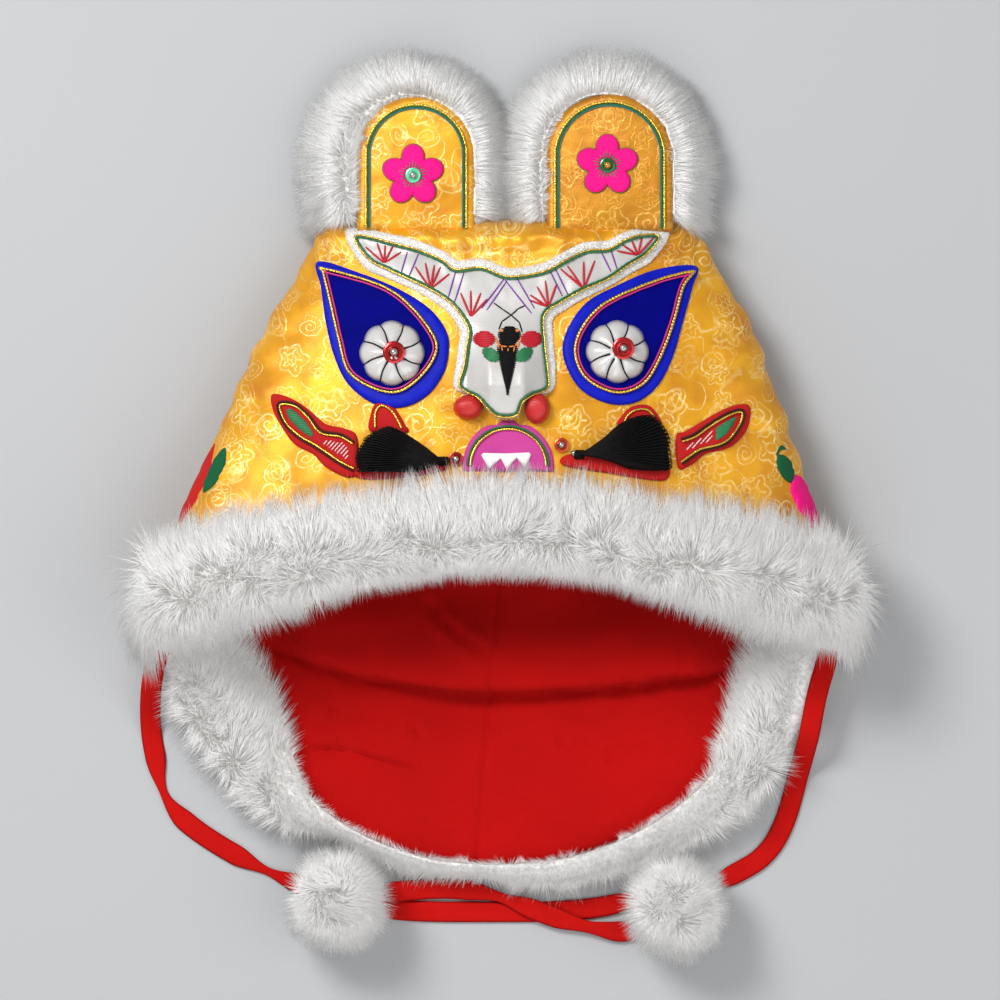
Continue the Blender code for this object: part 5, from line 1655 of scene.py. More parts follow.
@dataclass
class LiningCloth(Shell):
    """The red lining, with the roll and crease above the nape, small creases and its middle seam.

    Attributes:
        fold_y: Where the deep crease crosses the middle.
        fold_rise: How far it rises to the left and to the right.
        fold_span: Distance from the middle over which it rises.
        fold_height: Height of the roll above it.
        creases: Routes of the small creases.
        crease: Depth and half width of a small crease.
        welt: Height, distance and half width of the welt beside it.
        seam: Depth and width of the middle seam.
    """

    fold_y: float = -79.0
    fold_rise: tuple[float, float] = (18.5, 9.0)
    fold_span: float = 88.0
    fold_height: float = 9.5
    creases: tuple[tuple[tuple[float, float], ...], ...] = (
        ((-24.5, -46.8), (-18.7, -54.4), (-8.6, -62.3), (-4.7, -63.4)),
        ((22.0, -96.0), (40.0, -101.0), (56.0, -99.0)),
        ((-60.0, -84.5), (-30.0, -92.0), (2.0, -93.0)))
    crease: tuple[float, float] = (1.2, 2.2)
    welt: tuple[float, float, float] = (0.9, 3.6, 3.0)
    seam: tuple[float, float] = (0.8, 0.7)

    def along(self, x: float, y: float) -> float:
        """How far a plan point lies above the deep crease."""
        bow = self.fold_rise[0] if x < 0.0 else self.fold_rise[1]
        return y - self.fold_y - bow * (x / self.fold_span) ** 2 - 0.7 * waver(x, 0.0, 13.0, 4.4)

    def fold_at(self, x: float) -> float:
        """Where the shallow crease below it runs, over its left half."""
        return -97.5 - 9.0 * smooth((x + 62.0) / 40.0) - 0.03 * abs(x + 26.0)

    def seam_x(self, y: float) -> float:
        """Where the middle seam runs."""
        return -7.5 + 5.8 * (y + 140.0) / 80.0

    def spot(self, angle: float, y: float, inset: float) -> Vector:
        """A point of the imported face; rows crowd along the crease and columns along the seam."""
        if abs(angle) <= 90.0:
            return FORM.point(angle, y, inset)
        x = FORM.point(angle, y, inset).x
        off = self.along(x, y)
        y -= off * 0.88 * math.exp(-(off / 6.0) ** 2)
        off = y - self.fold_at(x)
        y -= off * 0.8 * math.exp(-(off / 4.0) ** 2)
        near = x - self.seam_x(y)
        x -= near * 0.8 * math.exp(-(near / 6.0) ** 2)
        half, mid = FORM.section(y)[:2]
        share = max(-1.0, min(1.0, (x - mid) / (half - inset)))
        turned = 180.0 - math.degrees(math.asin(abs(share)))
        return FORM.point(math.copysign(turned, share), y, inset)

    def relief(self, point: Vector, angle: float, face: int) -> float:
        """Folds over the back half; the front stays."""
        if abs(angle) <= 90.0:
            return 0.0
        x, y = point.x, point.y
        along = self.along(x, y)
        side = smooth((86.0 - abs(x)) / 18.0)
        rise = self.fold_height * smooth((along + 0.2) / 1.3) * smooth(1.0 - (along - 3.0) / 40.0) * side
        rise *= 1.0 + 0.22 * waver(x, 0.0, 22.0, 2.2)
        if face == 0:
            return rise - 0.3
        rise += 0.6 + 1.3 * waver(x, y * 1.6, 30.0, 6.0) + 0.6 * waver(x * 0.8, y * 1.5, 12.0, 8.0)
        rise -= 2.0 * math.exp(-((along + 0.1) / 0.9) ** 2) * smooth((98.0 - abs(x)) / 20.0)
        off = y - self.fold_at(x)
        reach = smooth((x + 72.0) / 8.0) * smooth((-24.0 - x) / 12.0)
        rise += reach * (2.4 * smooth((off + 0.2) / 1.0) * smooth(1.0 - off / 9.0)
                         - 1.3 * math.exp(-((off + 0.1) / 0.8) ** 2))
        rise += 0.9 * bump(along, -6.0, 4.5) * smooth((80.0 - abs(x)) / 20.0)
        for line in self.creases:
            for a, b in zip(line, line[1:]):
                way = Vector((b[0] - a[0], b[1] - a[1]))
                t = max(0.0, min(1.0, ((x - a[0]) * way.x + (y - a[1]) * way.y) / way.length_squared))
                off = math.hypot(x - a[0] - t * way.x, y - a[1] - t * way.y)
                rise -= self.crease[0] * smooth(1.0 - off / self.crease[1])
                rise += self.welt[0] * bump(off, *self.welt[1:])
        return rise - self.seam[0] * math.exp(-((x - self.seam_x(y)) / self.seam[1]) ** 2)


def outset(outline: Sequence[Sequence[float]], distances: Sequence[float]) -> list[Vector]:
    """A closed outline moved outwards, a distance for each point."""
    flat = [Vector(p[:2]) for p in outline]
    area = sum(a.x * b.y - b.x * a.y for a, b in zip(flat, flat[1:] + flat[:1]))
    turn = math.copysign(1.0, area)
    moved = []
    for i, here in enumerate(flat):
        before = (here - flat[i - 1]).normalized()
        after = (flat[(i + 1) % len(flat)] - here).normalized()
        mean = (Vector((before.y + after.y, -before.x - after.x)) * turn).normalized()
        spread = max(0.6, mean.dot(Vector((before.y, -before.x)) * turn))
        moved.append(here + mean * distances[i] / spread)
    return moved


def tombstone(x: float, root: float, half: float, tip: float, turns: int = 18) -> list[Point]:
    """Outline with a straight root, two legs and a round top."""
    arch = [polar((x, tip - half), half, math.pi * i / turns) for i in range(turns + 1)]
    return [(x + half, root), *arch, (x - half, root)]


def sequin(name: str, at: Point, radius: float, under: Height, finish: Finish, nodes: Sequence[str],
           slot: str) -> bpy.types.Object:
    """A cupped, pierced disc that lies on the highest point under it."""
    foot = max(under(at[0] + radius * dx, at[1] + radius * dy)
               for dx, dy in ((0, 0), (0.7, 0), (-0.7, 0), (0, 0.7), (0, -0.7)))
    hole = 0.42
    profile = [(hole, 0.0), (radius * 0.55, 0.05), (radius, 0.75), (radius - 0.05, 0.93),
               (radius * 0.55, 0.25), (hole, 0.2), (hole, 0.0)]
    made = Sheet()
    made.lathe(Vector((*at, foot + 0.1)), profile, 24, lambda a: 1.0 + 0.012 * math.cos(8.0 * a))
    return made.build(name, [finish], nodes, slot, merge=0.001)


def bead(name: str, at: Point, radius: float, under: Height, finish: Finish, nodes: Sequence[str],
         slot: str) -> bpy.types.Object:
    """A small round bead with its thread hole."""
    foot = under(*at) + 0.12
    rows = 8
    angles = [math.pi * i / rows for i in range(rows + 1)]
    profile = [(max(0.22, radius * math.sin(a)), radius * (1.0 - math.cos(a))) for a in angles]
    made = Sheet()
    made.lathe(Vector((*at, foot)), profile, 16)
    return made.build(name, [finish], nodes, slot)


@dataclass(frozen=True)
class EarSize:
    """Plan and finishes of one ear.

    Attributes:
        side: The side on which it lies.
        x: Its middle.
        root: Where the plaque starts.
        half: Half the plaque's width.
        tip: Where the plaque ends.
        fur_x: Middle of the fur.
        fur_half: Half the fur's width.
        flower: Middle of the flower.
        cloth: The plaque's cloth.
        slot: The record's slot for that cloth.
        disc: Finish of the sequin.
        drop: Finish of the bead.
    """

    side: Side
    x: float
    root: float
    half: float
    tip: float
    fur_x: float
    fur_half: float
    flower: Point
    cloth: Finish
    slot: str
    disc: Finish
    drop: Finish


@dataclass
class Ear:
    """A padded brocade plaque with cord, felt flower, sequin and bead, on a pad of fur.

    Attributes:
        size: Its sizes and finishes.
        thick: Thickness of the plaque.
        root_z: Height of its underside at the root.
        tip_z: Height of its underside at the tip.
        fur_root: Where the fur starts.
        fur_tip: Where the pad ends; the hairs reach further.
        rim_z: Height of the pad's widest ring.
        pile: The fur.
        pad: Height of the plaque's padding, of its pulls and of its small folds.
    """

    size: EarSize
    thick: float = 3.0
    root_z: float = 22.2
    tip_z: float = 11.0
    fur_root: float = 92.6
    fur_tip: float = 142.6
    rim_z: float = 6.5
    pile: Pile = Pile(6.1e6, 0.0110, radius=0.00016, spread=0.30, clump=1.5,
                      clump_size=0.010, comb=0.8, bend=0.40, seed=3)
    pad: tuple[float, float, float] = (0.9, 0.35, 0.25)

    def plane(self, x: float, y: float) -> float:
        """Height of the plaque's underside."""
        share = (y - self.size.root) / (self.size.tip - self.size.root)
        return self.root_z + (self.tip_z - self.root_z) * share

    def fur(self) -> bpy.types.Object:
        """The pad of fur: it rings the plaque's legs and top."""
        size = self.size
        rings = ((-11.0, lambda y: 0.4, 0.0, 1.0), (-4.5, lambda y: 1.2, 0.4, 1.0),
                 (0.0, lambda y: self.rim_z, 1.0, 1.0), (-1.8, lambda y: self.rim_z + 4.5, 1.0, 1.0),
                 (-6.5, lambda y: self.plane(0, y) + 1.6, 1.0, 0.9),
                 (None, lambda y: self.plane(0, y) + 1.7, 1.0, -0.3),
                 (1.0, lambda y: self.plane(0, y) + 0.4, 1.0, -0.6),
                 (0.4, lambda y: self.plane(0, y) - 0.45, 0.0, 0.0))
        made, grow, comb = Sheet(), [], []
        count = 44
        outlines = []
        for place, (reach, height, _, _) in enumerate(rings):
            if reach is None:
                outlines.append(None)
                continue
            if place < 5:
                half = size.fur_half - 3.5 + reach
                shape = tombstone(size.fur_x, self.fur_root, half, self.fur_tip + reach)
            else:
                shape = tombstone(size.x, self.fur_root, size.half + reach, size.tip + reach)
            path = route([(p[0], p[1]) for p in shape], 0.5)
            outlines.append([path[round(i * (len(path) - 1) / (count - 1))].xy for i in range(count)])
        outlines[5] = [a.lerp(b, 0.55) for a, b in zip(outlines[4], outlines[6])]
        centre = Vector((size.fur_x, size.tip - size.half))
        for (reach, height, share, lean), line in zip(rings, outlines):
            for i, p in enumerate(line):
                away = (p - centre).normalized()
                lump = share * noise.noise(Vector((i * 0.45, height(p.y) * 0.2, 7.0 + size.x)))
                place = p + away * lump
                made.points.append(Vector((place.x, max(self.fur_root, place.y),
                                           max(0.3, height(p.y) + 0.6 * lump))))
                grow.append(share)
                sink = -0.35 if lean > 0.0 and height(p.y) > 3.0 else 0.0
                comb.append(Vector((away.x * lean, away.y * lean, sink)))
        made.grid(len(rings), count, 0, False)
        made.face(tuple(row * count for row in range(len(rings))))
        made.face(tuple(row * count + count - 1 for row in range(len(rings))))
        last = (len(rings) - 1) * count
        for k in range(count - 1):
            made.face((last + k, last + k + 1, k + 1, k))
        side = self.size.side.value
        long = [length for length in (1.0, 1.0, 1.0, 1.0, 1.0, 0.62, 0.36, 0.3) for _ in range(count)]
        return fur_body(f"ear_pile_{side}", made, grow, comb, long, self.pile, [f"ear_fur_{side}"])

    def build(self) -> None:
        """Make the ear's pieces."""
        size, side = self.size, self.size.side.value
        self.fur()
        outline = route(tombstone(size.x, size.root, size.half, size.tip), 1.6)
        middle_y = (size.root + size.tip) / 2.0

        def puff(x: float, y: float) -> float:
            """Padding and pulls of the plaque."""
            away = math.hypot((x - size.x) / size.half, (y - middle_y) / (size.tip - middle_y))
            return (self.pad[0] * max(0.0, 1.0 - away**2) + self.pad[1] * waver(x * 0.7, y, 9.0, size.x)
                    + self.pad[2] * abs(waver(x, y, 4.5, 2.0)))

        plaque = Applique(outline, self.plane, seat=0.0, thick=self.thick - 0.4, edge=2.4, gap=1.15,
                          rise=puff)
        cloth = plaque.build(f"ear_plaque_{side}", size.cloth, [f"ear_{side}"], size.slot)
        face = over([cloth], lambda x, y: self.plane(x, y) + self.thick)
        cord = tombstone(size.x, size.root + 1.0, size.half - 3.8, size.tip - 3.8)
        strands = (Strand(0.75, 0.52, GOLD_THREAD, 1.1), Strand(-0.10, 0.36, GREEN_THREAD, 2.2),
                   Strand(-0.65, 0.26, TEAL_THREAD))
        Couching(cord, face, strands).build(f"ear_couching_{side}", [f"ear_cord_{side}"], "green_cord")
        self.flower(face)

    def flower(self, face: Height) -> None:
        """Five felt petals, green stitches between them, and the sequin and bead in the middle."""
        size, side = self.size, self.size.side.value
        cx, cy = size.flower
        petals, turn = 5, math.pi / 2.0
        middle, long, wide, heart = 6.5, 4.7, 4.1, 3.9

        def rim(angle: float) -> float:
            """Radius of the flower at an angle: five ovals round a middle."""
            step = 2.0 * math.pi / petals
            off = (angle - turn + step / 2.0) % step - step / 2.0
            a = (math.cos(off) / long) ** 2 + (math.sin(off) / wide) ** 2
            b = middle * math.cos(off) / long**2
            inside = b * b - a * ((middle / long) ** 2 - 1.0)
            return max(heart, (b + math.sqrt(inside)) / a) if inside > 0.0 else heart

        outline = [Vector(polar(size.flower, rim(a), a)) for a in circle(140)]

        def petal(x: float, y: float) -> float:
            """Each petal is padded."""
            angle, radius = math.atan2(y - cy, x - cx), math.hypot(x - cx, y - cy)
            across = abs(math.cos(petals * (angle - turn) / 2.0))
            return 0.55 * across**0.6 * smooth(radius / 3.5) * (1.0 - 0.7 * smooth((radius - 7.5) / 4.0))

        felt = Applique(outline, face, seat=0.15, edge=0.9, gap=0.7, rise=petal)
        body = felt.build(f"ear_petals_{side}", PINK_FELT, [f"ear_flower_{side}"], "pink_felt")
        top = over([body], face)
        threads = Sheet()

        for i in range(petals):
            angle = turn + math.pi / petals + 2.0 * math.pi * i / petals
            ends = (polar(size.flower, reach, angle) for reach in (2.4, 4.4))
            stitch(threads, *ends, top, width=0.5, arch=0.2, lean=0.5)
            petal_angle = angle + math.pi / petals
            for lean, end in ((-0.22, 4.7), (0.0, 5.4), (0.22, 4.7)):
                stitch(threads, polar(size.flower, 2.5, petal_angle + 2.0 * lean),
                       polar(size.flower, end, petal_angle + lean), top, width=0.36, arch=0.12, lean=0.4)
        edge = [polar(size.flower, rim(a) + 0.1, a) for a in circle(70)]
        line = Couching(edge, face, (Strand(0.0, 0.2, GREEN_THREAD),), True)
        line.build(f"ear_outline_{side}", [], "green_felt")
        threads.build(f"ear_veins_{side}", [LEAF_THREAD], [], "green_felt")
        disc = sequin(f"ear_disc_{side}", (cx, cy), 2.7, top, size.disc, [f"ear_sequin_{side}"],
                      "green_sequin")
        bead(f"ear_drop_{side}", (cx, cy), 1.35, over([disc, body], face), size.drop, [f"ear_bead_{side}"],
             "steel_bead")


@dataclass
class Brow:
    """The felt and satin brow panel with its padded nose, cord, stitches and insect.

    Attributes:
        cloth: Height of the crown.
        edge: The panel's outline, and how far the felt stands out beyond it.
        fans: Base and tips of the red stitches.
        lines: Ends of the purple stitches.
        fluff: The felt's loose fibres.
        middle: Middle of the nose.
        bridge: Where the nose starts to stand up, where it is highest, and its length below that.
        ridge: Height of the nose, half its width at the foot and the width of its flank.
    """

    cloth: Height
    edge: tuple[tuple[float, float, float], ...] = (
        (-51.5, 85.6, 2.0), (-36.5, 82.5, 2.6), (-27.5, 80.0, 2.6), (-19.5, 76.5, 2.6), (-15.0, 73.3, 2.6),
        (-6.0, 74.0, 2.6), (3.0, 70.8, 2.6), (12.0, 71.5, 2.6), (18.0, 73.2, 2.6), (24.0, 76.5, 2.6),
        (31.5, 80.0, 2.6), (39.5, 80.7, 2.6), (45.5, 84.0, 2.2), (51.5, 85.8, 1.8), (58.3, 85.2, 2.0),
        (53.5, 78.5, 2.6), (46.5, 74.0, 2.4), (39.5, 69.2, 2.0), (30.0, 65.0, 2.4), (23.0, 61.0, 2.6),
        (17.0, 56.5, 2.6), (17.0, 47.0, 2.6), (18.0, 38.0, 2.4), (18.5, 31.0, 1.2), (15.5, 28.6, 0.3),
        (12.5, 27.6, 0.0), (9.0, 25.0, 0.0), (6.8, 20.3, 0.0), (0.0, 20.0, 0.0), (-4.0, 23.0, 0.0),
        (-7.5, 26.8, 0.0), (-11.5, 28.8, 0.3), (-14.3, 31.6, 1.2), (-12.5, 38.0, 2.4), (-11.5, 45.0, 2.6),
        (-11.0, 52.0, 2.6), (-16.5, 60.0, 2.6), (-23.5, 65.0, 2.6), (-31.5, 69.0, 2.4), (-39.0, 72.5, 2.6),
        (-46.5, 76.5, 2.6))
    fans: tuple[tuple[Point, tuple[Point, ...]], ...] = (
        ((-40.7, 75.2), ((-47.2, 81.0), (-43.2, 82.4), (-40.3, 81.7), (-37.4, 81.7), (-34.6, 79.2))),
        ((-24.1, 65.9), ((-29.5, 73.8), (-25.9, 75.2), (-22.7, 74.5), (-20.5, 73.8), (-17.3, 71.3))),
        ((-9.7, 55.8), ((-13.3, 64.4), (-9.7, 65.2), (-6.1, 64.4), (-3.8, 62.3))),
        ((18.0, 59.4), ((11.5, 63.7), (11.2, 61.9), (14.0, 66.6), (16.9, 68.8), (20.9, 67.7))),
        ((30.6, 65.9), ((22.3, 73.1), (24.8, 74.2), (25.6, 70.6), (30.6, 75.6), (34.6, 76.1))),
        ((50.0, 78.1), ((42.5, 79.6), (44.6, 81.7), (47.9, 83.2), (51.5, 84.6), (55.8, 84.6))))
    lines: tuple[tuple[Point, Point], ...] = (
        ((-32.4, 79.2), (-34.9, 70.6)), ((-28.4, 78.5), (-32.0, 69.8)), ((-15.1, 72.2), (-18.0, 61.9)),
        ((-12.2, 71.6), (-15.7, 60.5)), ((2.2, 69.5), (-5.8, 58.9)), ((3.2, 68.8), (-4.0, 58.3)),
        ((2.5, 69.1), (11.9, 57.2)), ((6.5, 70.2), (13.0, 58.9)), ((18.4, 72.7), (22.9, 63.4)),
        ((20.5, 73.1), (25.0, 63.7)), ((36.7, 79.6), (40.3, 72.2)), ((40.1, 80.6), (42.5, 73.1)))
    fluff: Pile = Pile(5.5e6, 0.0008, radius=0.00012, spread=0.9, clump=0.6,
                       clump_size=0.003, comb=0.6, bend=0.3, seed=8)
    middle: float = 3.0
    bridge: tuple[float, float, float] = (62.0, 31.0, 11.0)
    ridge: tuple[float, float, float] = (7.5, 14.5, 8.5)

    def nose(self, x: float, y: float) -> float:
        """How far the padded nose stands up: a flat ridge, two side planes and a lower facet."""
        start, peak, below = self.bridge
        high, half, flank = self.ridge
        if y >= start:
            return 0.0
        along = smooth((start - y) / (start - peak))
        if y < peak:
            along = 1.0 - 0.75 * min(1.0, (peak - y) / below)
        across = (half - abs(x - self.middle)) / flank
        return high * along * min(1.0, max(0.0, across))

    def build(self) -> None:
        """Make the brow's pieces."""
        wide = outset(self.edge, [row[2] for row in self.edge])
        outline = route([tuple(p) for p in wide], 1.1, True)
        felt = Applique(outline, self.cloth, thick=1.2, edge=0.7, gap=1.5).sheet()[0]
        panel_line = route([row[:2] for row in self.edge], 1.0, True)
        half = len(felt.points) // 2
        grow, comb = [], []
        for i, p in enumerate(felt.points):
            near = edge_distance(p.x, p.y, outline)
            grow.append(smooth(1.0 - (near - 2.4) / 1.6) if i >= half else 0.0)
            away = Vector((p.x - self.middle, p.y - 60.0, 0.0)).normalized()
            comb.append(away)
        base = fur_body("brow_felt_fluff", felt, grow, comb, [1.0] * len(grow), self.fluff, ["brow_felt"],
                        WHITE_FELT)

        def level(x: float, y: float) -> float:
            """Top of the felt, without its fibres."""
            return self.cloth(x, y) + 1.65

        def padding(x: float, y: float) -> float:
            """Nose, soft padding and small pulls of the satin."""
            soft = 0.35 * smooth((y - 56.0) / 10.0) * (0.6 + 0.6 * waver(x, y, 11.0, 3.0))
            return self.nose(x, y) + soft + 0.18 * waver(x * 1.4, y, 5.0, 9.0)

        panel = Applique(panel_line, level, seat=0.2, thick=1.0, edge=1.0, gap=1.0, rise=padding)
        satin = panel.build("brow_satin", WHITE_SATIN, ["brow_panel"], "white_satin")
        top = over([satin], level)
        inner = outset(self.edge, [-0.75] * len(self.edge))
        strands = (Strand(0.40, 0.40, GREEN_THREAD, 2.4), Strand(-0.42, 0.42, GOLD_THREAD, 0.9))
        Couching([tuple(p) for p in inner], top, strands, True).build("brow_couching", ["brow_cord"],
                                                                      "green_cord")
        threads = Sheet()
        for foot, tips in self.fans:
            for tip in tips:
                start = Vector(foot).lerp(Vector(tip), 0.04)
                stitch(threads, start, tip, top, width=0.78, arch=0.25, lean=0.6)
        for start, end in self.lines:
            stitch(threads, start, end, top, width=0.5, kind=1, arch=0.2, lean=0.7)
        threads.build("brow_stitches", [RED_THREAD, PURPLE_THREAD], [], "red_silk")
        self.insect(top)

    def oval(self, made: Sheet, top: Height, centre: Point, radii: Point, tilt: float, kind: int) -> None:
        """A rounded field of satin stitches, tilted by an angle."""
        count = max(5, round(radii[1] * 2.0 / 0.62))
        for i in range(count):
            across = ((i + 0.5) / count * 2.0 - 1.0) * radii[1]
            half = radii[0] * math.sqrt(1.0 - (across / radii[1]) ** 2)
            ends = []
            for sign in (-1.0, 1.0):
                x, y = sign * half, across
                ends.append((centre[0] + x * math.cos(tilt) - y * math.sin(tilt),
                             centre[1] + x * math.sin(tilt) + y * math.cos(tilt)))
            stitch(made, ends[0], ends[1], top, width=0.85, kind=kind, arch=0.45, lean=0.5)

    def insect(self, top: Height) -> None:
        """The embroidered insect on the bridge of the nose."""
        made = Sheet()
        for points in (((-1.4, 60.8), (1.6, 58.6), (4.7, 56.5), (7.6, 53.9), (8.6, 50.4)),
                       ((9.8, 60.0), (7.2, 58.8), (4.7, 56.5), (1.4, 54.2), (0.3, 51.4))):
            for start, end in zip(points, points[1:]):
                stitch(made, start, end, top, width=0.5, arch=0.15, lean=0.8)
        self.oval(made, top, (4.1, 49.3), (4.2, 3.1), 0.0, 0)
        for side in (-1.0, 1.0):
            stitch(made, (4.1 + side * 2.2, 51.1), (4.1 + side * 3.3, 50.7), top, width=1.0, kind=1,
                   arch=1.1, lean=0.7)
            self.oval(made, top, (3.5 + side * 8.4, 47.9), (4.1, 2.8), side * 0.06, 2)
            self.oval(made, top, (3.4 + side * 5.9, 42.3), (3.6, 2.1), side * 0.62, 3)
        rows = 26
        for row in range(rows):
            share = row / (rows - 1)
            wide = 4.1 * (1.0 - share**1.25) * (0.72 + 0.28 * smooth(share * 6.0)) + 0.25
            y = 46.9 - 18.6 * share
            stitch(made, (3.5 - wide, y + 0.3), (3.3 + wide, y - 0.3), top, width=0.9, arch=0.45, lean=0.6)
        collar = [(-0.9, 48.6), (-0.3, 46.6), (1.2, 45.4), (3.6, 45.0), (6.0, 45.4), (7.6, 46.6), (8.3, 48.6)]
        for start, end in zip(collar, collar[1:]):
            stitch(made, start, end, top, width=0.55, kind=1, arch=0.75, lean=0.8)
        for x, y in collar[1:-1]:
            stitch(made, (x, y + 0.3), (3.5 + (x - 3.5) * 0.8, y - 2.2), top, width=0.42, kind=1,
                   arch=0.7, lean=0.7)
        made.build("brow_insect", [BLACK_THREAD, ORANGE_THREAD, RED_THREAD, LEAF_THREAD], [],
                   "black_thread")


@dataclass(frozen=True)
class EyeSize:
    """Plan of one eye.

    Attributes:
        side: The side on which it lies.
        patch: Outline of the blue patch.
        cord: Route of the gold cord.
        button: Middle of the button.
        radius: The button's radius.
        sequin: Middle of the sequin.
    """

    side: Side
    patch: tuple[Point, ...]
    cord: tuple[Point, ...]
    button: Point
    radius: float
    sequin: Point


@dataclass
class Eye:
    """A blue satin teardrop with gold cord, a darker field, a padded lobed button, sequin and bead.

    Attributes:
        size: Its plan.
        cloth: Height of the crown.
        high: Height of the button.
        lobes: Number of its lobes.
    """

    size: EyeSize
    cloth: Height
    high: float = 7.0
    lobes: int = 8

    def build(self) -> None:
        """Make the eye's pieces."""
        size, side = self.size, self.size.side.value
        outline = route(size.patch, 1.0, True)

        def soft(x: float, y: float) -> float:
            """Pulls of the satin."""
            return 0.22 * waver(x * 1.3, y, 6.0, size.button[0])

        patch = Applique(outline, self.cloth, edge=0.9, gap=1.3, rise=soft)
        ring = patch.build(f"eye_ring_{side}", BLUE_SATIN, [f"eye_patch_{side}"], "blue_satin")
        on_ring = over([ring], self.cloth)
        inside = route(outset(size.cord, [-0.4] * len(size.cord)), 1.0, True)
        inlay = Applique(inside, on_ring, seat=0.06, thick=0.35, edge=0.5, gap=1.4)
        inlay.build(f"eye_field_{side}", NAVY_SATIN, [], "blue_satin")

        def field(x: float, y: float) -> float:
            """Top of the darker field."""
            return on_ring(x, y) + 0.35

        Couching(size.cord, field, GOLD_ROUND, True).build(f"eye_couching_{side}", [f"eye_cord_{side}"],
                                                          "gold_cord")
        inner = outset(size.cord, [-1.05] * len(size.cord))
        Couching([tuple(p) for p in inner], field, (Strand(0.0, 0.36, MAGENTA_THREAD),), True).build(
            f"eye_line_{side}", [], "pink_felt")
        self.button(field)

    def button(self, under: Height) -> None:
        """The padded button, its black radial threads, sequin and bead."""
        size, side = self.size, self.size.side.value
        cx, cy = size.button
        foot = min(under(cx + dx, cy + dy) for dx in (-8.0, 8.0) for dy in (-8.0, 8.0)) + 0.1
        peak = under(cx, cy) + 0.4
        turns, rows = 96, 15
        made = Sheet()

        def lobed(angle: float) -> float:
            """Radius share at an angle."""
            return 1.0 + 0.085 * (abs(math.cos(self.lobes * angle / 2.0)) ** 0.8 - 0.6)

        for row in range(rows):
            share = 1.0 - row / (rows - 1)
            for angle in circle(turns):
                bent = angle + 0.10 * math.sin(math.pi * min(1.0, share)) * (1.0 - 0.5 * share)
                crest = abs(math.cos(self.lobes * bent / 2.0)) ** 0.7
                r = size.radius * share * (1.0 + (lobed(angle) - 1.0) * smooth(share * 1.6))
                dome = (1.0 - share**2.4) ** 0.55
                groove = 1.0 - 0.22 * (1.0 - crest) * smooth(share * 2.2) * (1.0 - 0.4 * share**4)
                x, y = polar(size.button, r, angle)
                base = max(foot + (peak - foot) * (1.0 - share), under(x, y) + 0.1)
                made.points.append(Vector((x, y, base + 0.3 + self.high * dome * groove * 0.96)))
        for share in (0.97, 0.5):
            for angle in circle(turns):
                r = size.radius * share * lobed(angle)
                x, y = polar(size.button, r, angle)
                made.points.append(Vector((x, y, under(x, y) + 0.12)))
        made.grid(rows, turns, 0, True)
        made.grid(2, turns, rows * turns, True, turned=True)
        for k in range(turns):
            after = (k + 1) % turns
            made.face((k, after, rows * turns + after, rows * turns + k))
        made.face(tuple((rows + 1) * turns + k for k in range(turns)))
        cushion = made.build(f"eye_cushion_{side}", [PEARL_SATIN], [f"eye_button_{side}"], "white_satin",
                             merge=0.002)
        top = over([cushion], under)
        threads = Sheet()
        for i in range(self.lobes):
            angle = math.pi / self.lobes + 2.0 * math.pi * i / self.lobes
            path = []
            for k in range(13):
                share = 0.26 + 0.68 * k / 12.0
                turned = angle - 0.10 * math.sin(math.pi * (share - 0.26) / 0.68) * (1.0 - 0.5 * share)
                x, y = polar(size.button, size.radius * share, turned)
                path.append(Vector((x, y, top(x, y) + 0.22)))
            threads.tube(path, [0.34 - 0.010 * k for k in range(13)], 6)
        threads.build(f"eye_rays_{side}", [BLACK_THREAD], [], "black_thread")
        disc = sequin(f"eye_disc_{side}", size.sequin, 4.0, top, RED_SEQUIN, [f"eye_sequin_{side}"],
                      "red_sequin")
        bead(f"eye_drop_{side}", size.sequin, 1.5, over([disc, cushion], under), STEEL,
             [f"eye_bead_{side}"], "steel_bead")


